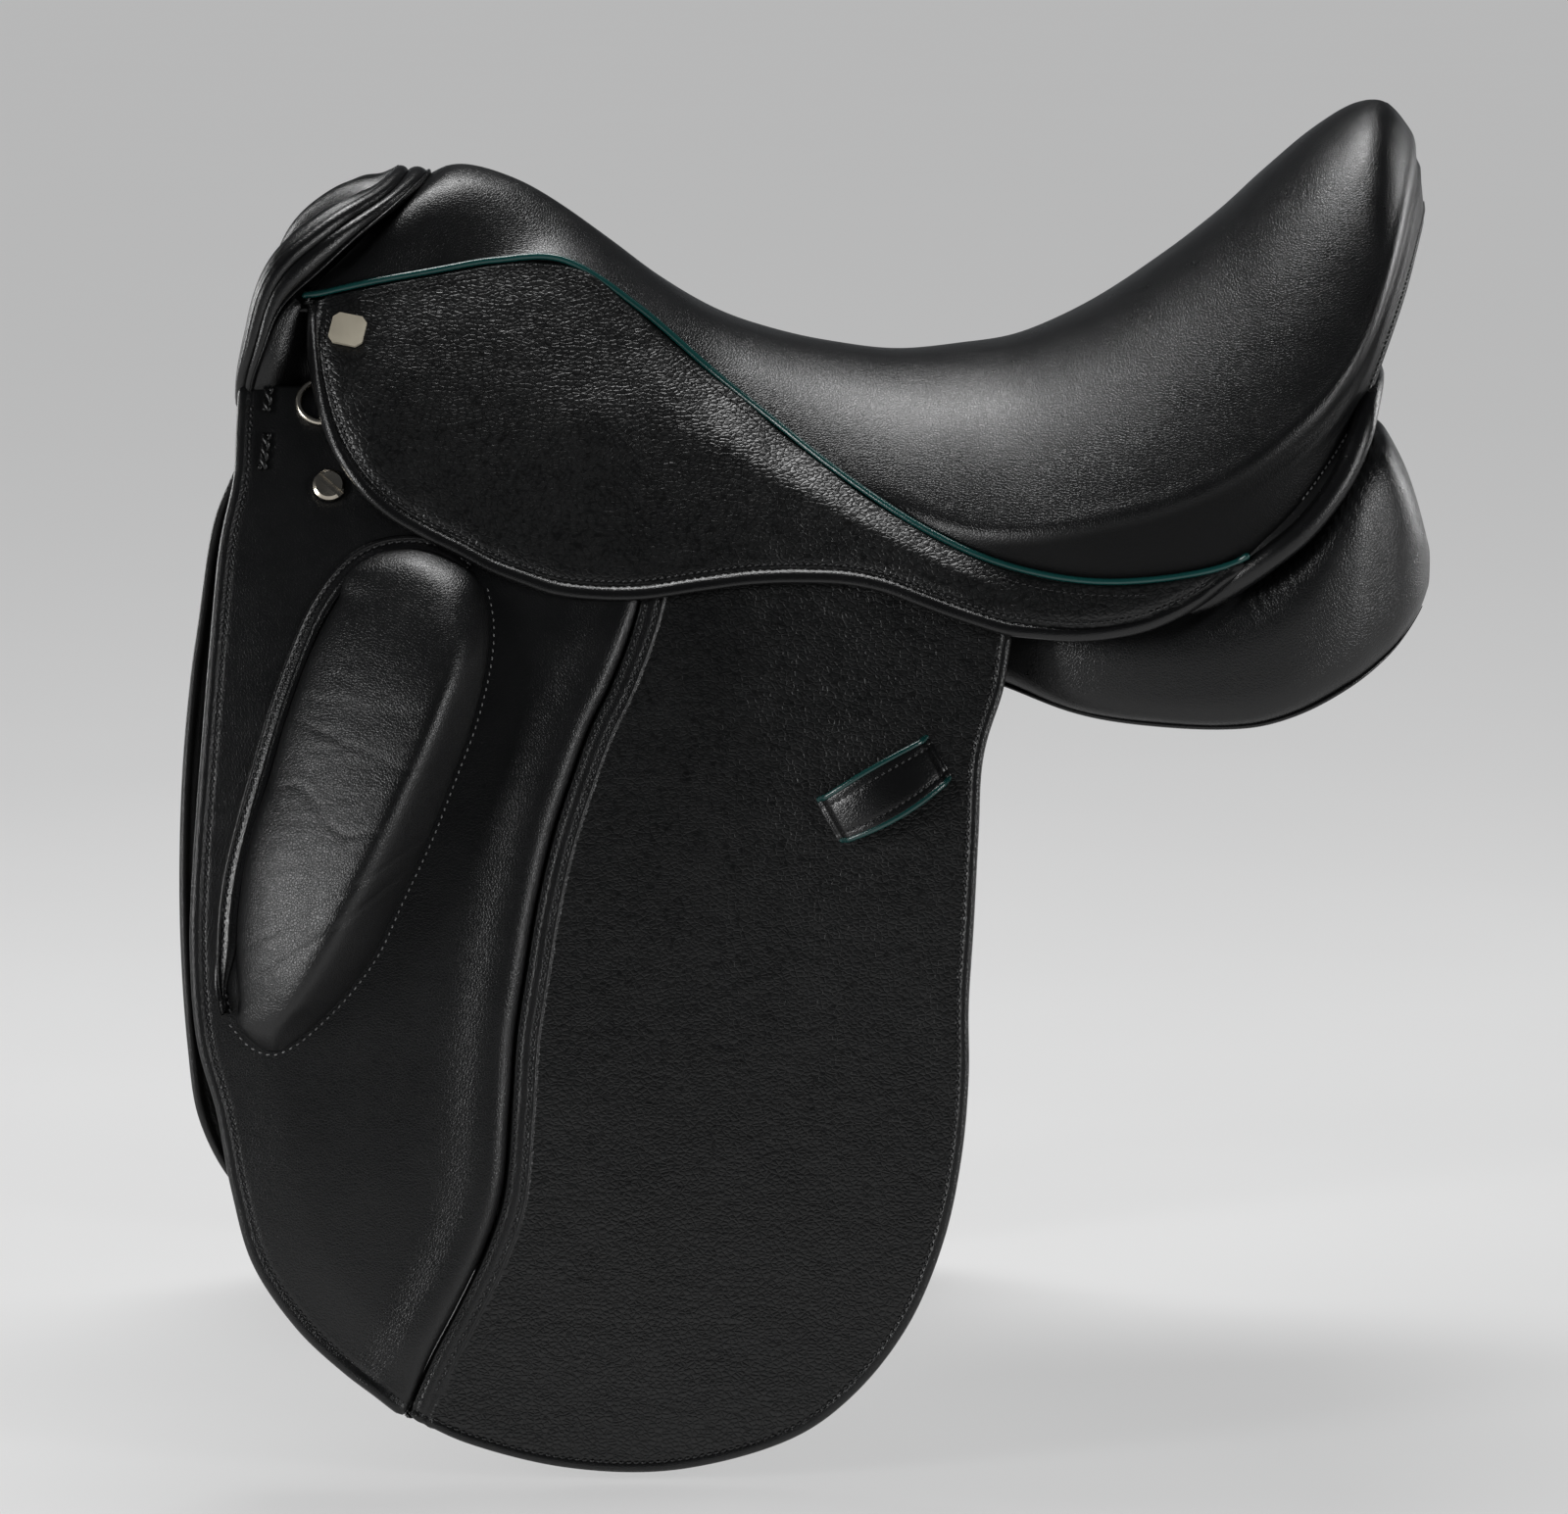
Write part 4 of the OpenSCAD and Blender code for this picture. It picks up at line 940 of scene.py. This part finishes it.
FM = spline(np.hstack([FRONT_X, MID_X]), NF)
FE, ME = FM[:, :2], FM[:, 2:]
hinge = int(np.argmin(np.abs(FE[:, 1] - 55)))
D = ME - FE
L = np.linalg.norm(D, axis=1)
D = D/L[:, None]
nearF = [0, 0.6, 1.3, 2.1, 2.9, 3.6, 4.3, 4.9, 5.5, 6.2, 7.4, 9.5, 13]
nearM = [0, 0.35, 0.8, 1.4, 2.1, 3.0, 4.2, 6, 9, 14]
kf, km = slant(FE, D), slant(ME, D)
C = columns(L, nearF, nearM, 46, kf, km)
P2 = FE[:, None] + D[:, None]*C[..., None]
P2 = lower(P2, lambda x: 48 + 42*(1 - sm((x + 155)/6)), hinge)
X, Z = P2[..., 0], P2[..., 1]
dF, dM = C/kf[:, None], (L[:, None] - C)/km[:, None]
low = sm((36 - Z)/50)
puff = (1.2*low + 0.3)*sm(dF/30)*sm(dM/6) + 3.4*low*np.exp(-((dM - 9)/13.0)**2) + 1.1*sm((-170 - Z)/60)*sm(dF/40)
edgeM = np.where(dM < 3.6, 1 - np.sqrt(np.clip(1 - ((3.6 - dM)/3.6)**2, 0, 1)), 0)
o_f = (puff + 0.6)*(1 - edgeM) - 1.0*edgeM
o_f = o_f + 0.8*np.sqrt(np.clip(1 - ((dF - 1.7)/1.9)**2, 0, 1)) - 0.5*np.exp(-((dF - 4.9)/0.6)**2)
o_f -= 1.9*np.exp(-(((X + 188)**2 + (Z - 52)**2)/150.0)) + 0.9*np.exp(-(((X + 214)/4)**2 + ((Z - 86)/7)**2)) + 0.9*np.exp(-(((X + 215)/4)**2 + ((Z - 66)/9)**2))
o_f += (0.7*nz(X, 0*X, Z, 0.011, 4.2) + 0.25*nz(X, 0*X, Z*0.5, 0.045, 9.0))*sm(dF/12)*sm(dM/10)
PF = onflap(X, Z, o_f)
Xf, Zf = X, Z
fl, ar = flat_of(PF, 0.18, 0.44)
side("flap_front_leather", sheet_solid(PF, 4.0, (0, -1, 0.4)), SMOOTH_L, blend="flap", replaces=("SIDE_flap_front", "SIDE_flap_top"),
     slot="smooth_leather", sheet={"flat": fl, "held": "hung", "area": ar})
stitch_on("flap", inset(FE, 4.9, (-150, -100))[6:-12], onflap, 0.4, pitch=3.0, long=2.15, r=0.44)

MR = spline(np.hstack([MID_X, REAR_X]), NF + 40)
MR[:, 0] += 0.5
M2, RE = MR[:, :2], MR[:, 2:]
hinge = int(np.argmin(np.abs(RE[:, 1] + 51) + np.abs(M2[:, 1] + 1)))
D = RE - M2
L = np.linalg.norm(D, axis=1)
D = D/L[:, None]
nearW = [0, 0.4, 0.9, 1.5, 2.2, 2.9, 3.7, 4.7, 5.7, 6.5, 7.2, 7.9, 8.6, 9.2, 9.6, 10.1, 11, 13, 16]
nearR = [0, 0.5, 1.1, 1.8, 2.5, 3.1, 3.6, 4.2, 5.2, 7, 10]
km, kr = slant(M2, D), slant(RE, D)
C = columns(L, nearW, nearR, 52, km, kr)
P2 = M2[:, None] + D[:, None]*C[..., None]
P2 = lower(P2, lambda x: np.where(x < 0, 48 + 0*x, np.interp(x, [0, 30, 60, 92], [48, 32, 14, -3])), hinge)
X, Z = P2[..., 0], P2[..., 1]
dW, dR = C/km[:, None], (L[:, None] - C)/kr[:, None]
welt = 1.0*sm(dW/1.0)*(1 - sm((dW - 9.2)/0.8)) - 0.5*np.exp(-((dW - 2.2)/0.55)**2) - 0.5*np.exp(-((dW - 7.2)/0.55)**2) + 0.3*np.exp(-((dW - 4.7)/1.6)**2)
o_r = welt - 0.5*np.exp(-(dW/0.6)**2) + 0.45*np.sqrt(np.clip(1 - ((dR - 1.2)/1.5)**2, 0, 1)) - 0.42*np.exp(-((dR - 3.1)/0.55)**2)
o_r += (0.9*nz(X, 0*X, Z, 0.010, 2.2) + 0.2*nz(X, 0*X, Z, 0.05, 6.0))*sm((dW - 10)/20)*sm((dR - 4)/20)
PR = onflap(X, Z, o_r)
fl, ar = flat_of(PR, 0.25, 0.40)
fm_r = np.zeros(4*len(PR)*PR.shape[1], int)
fm_r[:(len(PR) - 1)*(PR.shape[1] - 1)] = ((dW[:-1, :-1] < 9.9) | (dR[:-1, 1:] < 2.3)).ravel()
side("flap_rear_leather", sheet_solid(PR, 4.0, (0, -1, 0.4)), GRAIN_L, mats=[GRAIN_L, SMOOTH_L], fm=fm_r, blend="flap", replaces=("SIDE_flap_rear", "SIDE_flap_welt"),
     slot="grained_leather", sheet={"flat": fl, "held": "hung", "area": ar})
inside = (-20, -170)
stitch_on("flap", inset(M2, 2.2, inside)[18:-4], onflap, 0.6, pitch=3.1, long=2.25, r=0.5)
stitch_on("flap", inset(M2, 7.2, inside)[18:-8], onflap, 0.6, pitch=3.1, long=2.25, r=0.5)
stitch_on("flap", inset(RE, 3.1, inside)[8:-4], onflap, 0.05, pitch=3.0, long=2.15, r=0.44)

# ------------------------------------------------------------------ thigh block
bz = np.linspace(-170, 29, 240)
K = [cr(bz, BLOCK, c) for c in (1, 2, 3, 4)]
K[0] = K[0] + 6.2*sm((bz + 168)/22)*(1 - sm((bz - 8)/14))
K[3] = np.where(bz > -30, np.sqrt(np.clip(1 - ((bz + 30)/59.05)**2, 0, 1)), K[3])
nb = 64
bb = (1 - np.cos(np.linspace(0, np.pi, nb)))/2
Bx = K[0][:, None] + (K[1] - K[0])[:, None]*bb[None]
r_ = K[2][:, None]
up = np.clip(bb[None]/r_, 0, 1)**0.62
dn = np.clip((1 - bb[None])/(1 - r_), 0, 1)**0.72
h = np.where(bb[None] < r_, up, dn)
wt_ = sm((bz + 40)/55)[:, None]
h = smooth1(h, 2.4, axis=1)*(1 - wt_) + smooth1(h, 7.0, axis=1)*wt_
h[:, 0] = 0
h[:, -1] = 0
Hh = BLOCK_H*np.clip(K[3], 0, 1)[:, None]*h
Hh = np.maximum(smooth1(Hh, 3.4, axis=0), 0)
Bz = np.repeat(bz[:, None], nb, 1)
wr = 0.10*nz(Bx*0.6, 0*Bx, Bz*1.6, 0.16, 2.0) + 0.5*nz(Bx, 0*Bx, Bz, 0.02, 7.0)
crease = -0.25*np.exp(-((Bz + 70 + 0.5*(Bx + 190) + 4*np.sin(Bx*0.2))/1.6)**2) - 0.15*np.exp(-((Bz + 44 + 0.35*(Bx + 180))/1.4)**2)
crease += -0.3*np.exp(-((Bz + 132 - 0.7*(Bx + 205))/1.5)**2) - 0.25*np.exp(-((Bz + 118 - 0.6*(Bx + 205))/1.3)**2)
Hh = Hh + (wr + crease)*sm(Hh/12)
PB = onflap(Bx, Bz, 2.2 + Hh)
QB = onflap(Bx, Bz, 1.6 + 0*Hh)
V = np.concatenate([PB.reshape(-1, 3), QB.reshape(-1, 3)])
n_, m_ = PB.shape[:2]
NBk = grid_normals(PB)
fp = float((NBk*np.array([0, -1, 0])).sum(-1).mean()) < 0
per = np.array([(0, j) for j in range(m_)] + [(i, m_ - 1) for i in range(1, n_)] + [(n_ - 1, j) for j in range(m_ - 2, -1, -1)] + [(i, 0) for i in range(n_ - 2, 0, -1)])
pa = per[:, 0]*m_ + per[:, 1]
pb = pa + n_*m_
rimq = np.stack([pa, pb, np.roll(pb, -1), np.roll(pa, -1)] if fp else [pa, np.roll(pa, -1), np.roll(pb, -1), pb], -1)
Fb = np.concatenate([quads(n_, m_, 0, fp), quads(n_, m_, n_*m_, not fp), rimq])
side("thigh_block", (V, Fb), SMOOTH_L, body="flap", replaces=("SIDE_block_cover", "SIDE_block_core"), slot="smooth_leather", padded=0.9)
# binding strip round the front of the block
outl_f = np.stack([K[0], bz], 1)
outl_r = np.stack([K[1], bz], 1)
top = [(-140, 29.5), (-150, 33.0), (-160, 33.5), (-170, 31.0), (-180, 25)]
path = spline([(-128.5, 24.5), (-137, 30), (-147, 32.8), (-158, 33.3), (-169, 31.2), (-179, 26), (-188, 17), (-196, 5), (-203, -11), (-210, -30), (-217, -53), (-224, -78),
               (-229.5, -102), (-231.6, -124), (-231.2, -142), (-228.5, -154)], 200)
ins = inset(path, 7.4, (-170, -70))
fw = np.linspace(0, 1, 19)[None, :, None]
tp = 1 - 0.85*sm((np.linspace(0, 1, 200) - 0.88)/0.12)
W2 = path[:, None] + ((ins - path)*tp[:, None])[:, None]*fw
ob = 3.2 + 0.7*np.exp(-((fw[..., 0] - 0.10)/0.1)**2) - 0.45*np.exp(-((fw[..., 0] - 0.32)/0.07)**2) + 0.8*np.exp(-((fw[..., 0] - 0.66)/0.16)**2) + 0*W2[..., 0]
PW = onflap(W2[..., 0], W2[..., 1], ob)
side("block_binding", sheet_solid(PW, 2.2, (0, -1, 0.3)), EDGE_L, body="flap", slot="edge_leather")
stitch_on("flapbody", inset(path, 2.4, (-170, -70)), onflap, 2.85, pitch=3.1, long=2.2, r=0.46)
# stitches along the rear of the block, in the lighter thread that paints their highlight
lo_ = spline([(-226, -160), (-218, -168.5), (-209, -171.5), (-200, -168), (-190, -160), (-178, -148), (-166, -132), (-156, -111), (-144, -86), (-134, -61)], 160)
lo_ = np.vstack([lo_, spline([(-134, -61), (-126, -40), (-120, -15), (-119.5, 0), (-122, 12)], 60)[1:]])
lo_ = even(lo_, 200)
lo_o = np.array([o_f.ravel()[np.argmin((Xf.ravel() - x)**2 + (Zf.ravel() - z)**2)] for x, z in lo_])
lo_n = normals_of(onflap, lo_[:, 0], lo_[:, 1])
stitch_row("flapbody_highlit", onflap(lo_[:, 0], lo_[:, 1], smooth1(lo_o[:, None], 4)[:, 0]), lo_n, pitch=3.2, long=1.7, r=0.36)

# ------------------------------------------------------------------ keeper
KA, KB, KW = np.array([19.5, -77.5]), np.array([62.5, -52.5]), 8.2
kd = (KB - KA)/np.linalg.norm(KB - KA)
kn = np.array([-kd[1], kd[0]])


def keep(f, w, o):
    f, w = np.broadcast_arrays(f, w)
    bowk = 1.4*np.sin(np.pi*f)*w/KW
    q = KA + (KB - KA)*f[..., None] + (w + bowk)[..., None]*kn
    base = -3.2*(1 - sm(f/0.05)) - 3.2*(1 - sm((1 - f)/0.05))
    return onflap(q[..., 0], q[..., 1], 0.8 + 7*np.sin(np.pi*np.clip(f, 0.001, 0.999))**0.7 + base + o)


kf_ = np.linspace(-0.02, 1.02, 64)[:, None]
kw_ = np.array([-1, -0.96, -0.9, -0.8, -0.72, -0.66, -0.5, -0.25, 0, 0.25, 0.5, 0.66, 0.72, 0.8, 0.9, 0.96, 1])[None]*KW
ko = 2.6 - 0.3*np.exp(-((np.abs(kw_) - 0.72*KW)/0.5)**2) + 0.35*np.cos(kw_/KW*np.pi/2) + 0*kf_
PK = keep(kf_ + 0*kw_, kw_ + 0*kf_, ko)
side("keeper_strap", sheet_solid(PK, 2.6, (0, -1, 0.3)), EDGE_L, body="flap", replaces=("SIDE_keeper",), slot="edge_leather")
fs = np.linspace(-0.01, 1.01, 60)
cords = [tube(keep(fs, s*(KW + 1.0) + 0*fs, 1.6), 1.25, 10) for s in (-1, 1)]
side("keeper_cords", join(cords), TEAL, body="flap", replaces=("SIDE_keeper_piping",), slot="teal_piping")
for s in (-0.72, 0.72):
    fr = np.linspace(0.03, 0.97, 60)
    pk = keep(fr, s*KW + 0*fr, 2.6)
    stitch_row("flapbody", pk, np.repeat([[0, -0.95, 0.3]], 60, 0), pitch=2.8, long=2.0, r=0.44)

# ------------------------------------------------------------------ sweat flap
SWF_V = [(-225, 62), (-230.5, 50), (-235, 37)] + [tuple(p) for p in SWF[1:]]
SWR_V = [(58, 44), (58, 33), (58, 20)] + [tuple(p) for p in SWR[1:]]
SW = spline(np.hstack([SWF_V, SWR_V]), 150)
A2, B2 = SW[:, :2], SW[:, 2:]
D = B2 - A2
L = np.linalg.norm(D, axis=1)
D = D/L[:, None]
ka, kb = slant(A2, D), slant(B2, D)
C = columns(L, [0, 0.8, 1.8, 2.8, 3.6, 4.4, 6, 9], [0, 0.8, 1.8, 2.8, 3.6, 4.4, 6, 9], 34, ka, kb)
P2 = A2[:, None] + D[:, None]*C[..., None]
X, Z = P2[..., 0], P2[..., 1]
dA, dB = C/ka[:, None], (L[:, None] - C)/kb[:, None]
dE = np.minimum(dA, dB)
o_w = -15 + 0.7*np.sqrt(np.clip(1 - ((dE - 1.3)/1.5)**2, 0, 1)) - 0.35*np.exp(-((dE - 3.6)/0.6)**2) + 0.6*nz(X, 0*X, Z, 0.012, 12.0)*sm(dE/20)
fwd = 9*(1 - sm((X + 247)/26))*sm((60 - Z)/40)*sm((Z + 235)/40)
PWf = onflap(X, Z, o_w + fwd)
fl, ar = flat_of(PWf, 0.30, 0.33)
side("sweat_flap_leather", sheet_solid(PWf, 3.0, (0, -1, 0.4)), STRAP_L, body="root", replaces=("SIDE_sweat_flap",), slot="strap_leather",
     sheet={"flat": fl, "held": "hung", "area": ar})

# ------------------------------------------------------------------ panels
PANEL_V = [list(r) for r in PANEL[:8]] + [[120,40,126,46,4,-5,-46],[160,42,134,48,6,-4,-52],[190,43,137,54,14,0,-53],
  [212,45,137,66,33,2,-48],[234,47,132,80,67,4,-38],[247,50,124,80,73,8,-28],[253.5,52,119,70,65,11,-20],
  [260,56,111,56,50,15,-9],[264,61,103,42,38,17,-1],[267,70,94,30,27,18,8]]


def pw(c):
    return np.sign(c)*np.abs(c)**0.6


def panel_pt(x, q):
    R = [cr(x, PANEL_V, c) for c in range(1, 7)]
    a, b_ = pw(np.cos(q)), pw(np.sin(q))
    f, g = (a + 1)/2, (b_ + 1)/2
    y = R[0] + (R[1] - R[0])*f
    zb, zt = R[4] + (R[5] - R[4])*f, R[2] + (R[3] - R[2])*f
    return np.stack([x + 0*q, -y, zb + (zt - zb)*g], -1)


px = np.concatenate([np.linspace(-204, 190, 110)[:-1], np.linspace(190, 255, 50)[:-1], 267 - 12*np.linspace(1, 0, 26)**1.8])
qa = np.linspace(0, 2*np.pi, 97)[:-1]
PP = panel_pt(px[:, None] + 0*qa[None], qa[None] + 0*px[:, None])


def cap(ring, dx, k):
    c = ring.mean(0)
    out_ = []
    for s, x in k:
        r = c + (ring - c)*s
        r[:, 0] += dx*x
        out_.append(r)
    return np.array(out_)


capk = [(0.97, 1.2), (0.9, 2.6), (0.78, 3.9), (0.6, 5.0), (0.38, 5.7), (0.15, 6.0)]
capr = [(0.85, 0.4), (0.6, 0.8), (0.3, 1.0), (0.1, 1.1)]
PP = np.concatenate([cap(PP[0], -1, capk)[::-1], PP, cap(PP[-1], 1, capr)])
PP = smooth1(PP, 1.4, axis=0)
n_, m_ = PP.shape[:2]
Fp = [tuple(q) for q in quads(n_, m_, 0, False, True)]
Fp += [tuple(range(m_)), tuple((n_ - 1)*m_ + j for j in range(m_ - 1, -1, -1))]
cen = PP.mean(axis=1, keepdims=True)
NP = grid_normals(np.concatenate([PP, PP[:, :1]], 1))[:, :-1]
if float((NP*(PP - cen)).sum(-1).mean()) < 0:
    NP = -NP
rd = np.stack([np.min(np.linalg.norm(PP[i][:, None] - rp[None], axis=-1), axis=1) for i in range(n_)])
al = PP[..., 0] + 0.6*PP[..., 2]
gather = 0.9*np.sin(al*2*np.pi/5.2 + 2*nz(PP[..., 0], PP[..., 1], PP[..., 2], 0.05, 3.0))*np.exp(-((rd - 6)/7.0)**2)*sm((PP[..., 0] - 150)/30)
lump = 1.4*nz(PP[..., 0], PP[..., 1], PP[..., 2], 0.022, 14.0)*np.exp(-((rd - 18)/16.0)**2)*sm((PP[..., 0] - 140)/40)
PP = PP + NP*(gather + lump + 0.5*nz(PP[..., 0], PP[..., 1], PP[..., 2], 0.012, 21.0))[..., None]
side("panel_leather", (PP.reshape(-1, 3), Fp), PANEL_L, body="root", replaces=("SIDE_panel", "panel_flock"), slot="smooth_leather", padded=0.9)
# welt along the lower edge of the panel
jb = int(np.argmin(np.abs(qa - math.radians(315))))
wl = smooth1(PP[7:-16, jb], 2.0)
wl = wl + np.array([0, -0.6, -0.6])
side("panel_welt", tube(even(wl, 220), 1.1 - 0.9*sm((np.arange(220) - 190)/29), 8), EDGE_L, body="root", slot="edge_leather")

# ------------------------------------------------------------------ billets
BZ = np.linspace(14, -296, 180)


def billet(x0):
    w = 12.5*np.where(BZ < -276, np.sqrt(np.clip(1 - ((-276 - BZ)/21.5)**2, 0.04, 1)), 1)
    u = np.array([-1, -0.95, -0.86, -0.78, -0.7, -0.5, -0.25, 0, 0.25, 0.5, 0.7, 0.78, 0.86, 0.95, 1])
    X = x0 + w[:, None]*u[None]
    o = -7.4 - 0.35*np.exp(-((np.abs(u[None]) - 0.78)/0.05)**2) - 0.3*np.abs(u[None])**8 + 0*X
    for hz in range(-150, -271, -24):
        r = np.sqrt((X - x0)**2 + (BZ[:, None] - hz)**2)
        o = o - 0.5*np.exp(-((r - 2.75)/1.2)**2)
    return onflap(X, np.repeat(BZ[:, None], len(u), 1), o)


def punched(name, P, x0):
    V, F = sheet_solid(P, 3.4, (0, -1, 0.4))
    o = make(name, V, F, STRAP_L)
    cut = []
    for hz in range(-150, -271, -24):
        a = 2*np.pi*np.arange(28)/28
        ring = np.stack([x0 + 2.75*np.cos(a), np.full(28, -140.0), hz + 2.75*np.sin(a)], 1)
        ring2 = ring + np.array([0, -60, 0])
        Fc = [(j, (j + 1) % 28, 28 + (j + 1) % 28, 28 + j) for j in range(28)] + [tuple(range(27, -1, -1)), tuple(28 + j for j in range(28))]
        cut.append((np.vstack([ring, ring2]), Fc))
    v, f = join(cut)
    c = make(name + "_cut", v, f, STRAP_L)
    b = o.modifiers.new("holes", "BOOLEAN")
    b.operation = "DIFFERENCE"
    b.object = c
    b.solver = "EXACT"
    dg = bpy.context.evaluated_depsgraph_get()
    me = bpy.data.meshes.new_from_object(o.evaluated_get(dg))
    o.modifiers.clear()
    old = o.data
    o.data = me
    bpy.data.meshes.remove(old)
    bpy.data.objects.remove(c)
    me.name = name
    return o


for w_, x0 in (("front", -104), ("rear", -12)):
    PBt = billet(x0)
    fl, ar = flat_of(PBt, 0.025, 0.36)
    o = punched(f"left_{w_}_billet_strap", PBt, x0)
    for s, q in (("left", o), ("right", mirrored(o, f"right_{w_}_billet_strap"))):
        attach(q, f"{s}_{w_}_billet")
        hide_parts(f"{s}_{w_}_billet")
    for u in (-0.78, 0.78):
        zz = np.linspace(10, -272, 160)
        stitch_on(f"billet_{w_}", np.stack([np.full(160, x0 + u*12.5), zz], 1), onflap, -7.65, pitch=3.0, long=2.2, r=0.36)

# ------------------------------------------------------------------ laces and slits
lace = []
for x, z0, z1 in ((-214, 89.5, 82), (-214.5, 72, 59.5)):
    zt = np.linspace(z0, z1, 40)
    for ph in (0, math.pi):
        a = ph + (zt - z0)*0.75
        lace.append(tube(onflap(x - (z0 - zt)*0.10 + 1.1*np.cos(a), zt, 0.9 + 0.9*np.sin(a)), 1.15, 10))
side("panel_lace", join(lace), EDGE_L, body="root", replaces=("panel_laces",), slot="strap_leather")

# ------------------------------------------------------------------ threads
for g, parts in THREADS.items():
    VF = join(parts)
    if g == "flap":
        side("flap_stitching", VF, THREAD, blend="flap")
    elif g == "flapbody":
        side("block_stitching", VF, THREAD, body="flap")
    elif g == "flapbody_highlit":
        # lighter thread: painted highlight on the block edge stitches
        side("block_edge_stitching", VF, THREAD_HIGHLIT, body="flap")
    elif g == "skirt":
        side("skirt_stitching", VF, THREAD, blend="skirt")
    elif g == "skirt_top":
        side("skirt_top_stitching", VF, THREAD, blend="skirt")
    elif g == "root_highlit":
        # lighter thread: painted highlight on the cantle stitches
        side("cantle_stitching", VF, THREAD_HIGHLIT, body="root")
    elif g == "root_dark":
        # head stitches in the lighter thread: painted highlight
        o = make("head_stitching", VF[0], VF[1], THREAD_HIGHLIT)
        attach(o, "root")
    else:
        side(g.replace("billet_", "") + "_billet_stitching", VF, THREAD, body=g.replace("billet_", "") + "_billet")

# ------------------------------------------------------------------ finish of the CAD parts that show
SLOT_MAT = {"tree_beech": BEECH, "steel": STEEL, "forged_steel": FORGED, "nickel": NICKEL, "plate_metal": PLATE,
            "webbing": WEB, "foam": STRAP_L, "wool_flock": WEB, "teal_piping": TEAL, "grained_leather": GRAIN_L,
            "strap_leather": STRAP_L, "edge_leather": EDGE_L, "smooth_leather": SMOOTH_L}
slots = {s["node"]: s["material_slot"] for s in frame["record"]["subparts"]}
for n, o in frame["nodes"].items():
    o.data.materials.clear()
    o.data.materials.append(SLOT_MAT[slots[n]])
    if n.endswith("nameplate") or n in ("flap_screws", "d_ring_screws"):
        bv = o.modifiers.new("edges", "BEVEL")
        bv.width = 0.0003
        bv.segments = 2
        bv.limit_method = "ANGLE"
        bv.angle_limit = math.radians(35)

# ------------------------------------------------------------------ stage
fm_, ft, fb = new_mat("pale_floor")
ft.links.new(ramp(ft, noise_tex(ft, tex_coord(ft, (1, 1, 1)), 3.0, 2.0), [(0.3, grey(0.30)), (0.7, grey(0.32))]), fb.inputs["Base Color"])
fb.inputs["Roughness"].default_value = 0.8
fb.inputs["Specular IOR Level"].default_value = 0.1
fb.inputs["Emission Color"].default_value = (1, 1, 1, 1)
fb.inputs["Emission Strength"].default_value = 0.46
FZ = -346
floor = make("floor", [(-9000, -9000, FZ), (9000, -9000, FZ), (9000, 9000, FZ), (-9000, 9000, FZ)], [(0, 1, 2, 3)], fm_)

world = bpy.data.worlds.new("studio")
bpy.context.scene.world = world
world.use_nodes = True
wt = world.node_tree
bg = wt.nodes["Background"]
wc = wt.nodes.new("ShaderNodeTexCoord")
ws = wt.nodes.new("ShaderNodeSeparateXYZ")
wt.links.new(wc.outputs["Generated"], ws.inputs[0])
wt.links.new(ramp(wt, ws.outputs["Z"], [(0.0, (0.26, 0.27, 0.28, 1)), (0.06, (0.24, 0.25, 0.26, 1)), (0.12, (0.045, 0.047, 0.05, 1)), (1.0, (0.04, 0.042, 0.045, 1))]), bg.inputs[0])


def area(name, loc, target, size, power, colour=(1, 1, 1), size_y=None, spread=180):
    l = bpy.data.lights.new(name, "AREA")
    l.energy = power
    l.color = colour
    l.size = size
    if size_y:
        l.shape = "RECTANGLE"
        l.size_y = size_y
    l.spread = math.radians(spread)
    o = bpy.data.objects.new(name, l)
    o.location = loc
    d = Vector(target) - Vector(loc)
    o.rotation_euler = d.to_track_quat("-Z", "Y").to_euler()
    bpy.context.scene.collection.objects.link(o)
    return o


area("overhead", (-0.1, 0.6, 1.85), (0.0, 0.0, 0.0), 1.1, 29, size_y=0.6)
area("left_box", (-1.9, -1.2, 0.45), (0.0, -0.1, 0.0), 0.5, 3.5, size_y=1.0, spread=70)
area("right_box", (1.9, -1.2, 0.4), (0.1, -0.1, 0.05), 0.45, 2.8, size_y=1.0, spread=70)
area("left_box_far", (-1.9, 1.3, 0.45), (0.0, 0.1, 0.0), 0.5, 2.8, size_y=1.0, spread=70)
area("right_box_far", (1.9, 1.3, 0.4), (0.1, 0.1, 0.05), 0.45, 2.4, size_y=1.0, spread=70)

cam = bpy.data.cameras.new("camera")
cam.sensor_width = 36
cam.lens = 171.4
cam.clip_end = 100
co = bpy.data.objects.new("camera", cam)
bpy.context.scene.collection.objects.link(co)
co.location = (0, -3.1514, 0.4779)
co.rotation_euler = (Vector((0, 0, -0.0778)) - Vector(co.location)).to_track_quat("-Z", "Y").to_euler()
bpy.context.scene.camera = co
bpy.context.scene.view_settings.view_transform = "Standard"
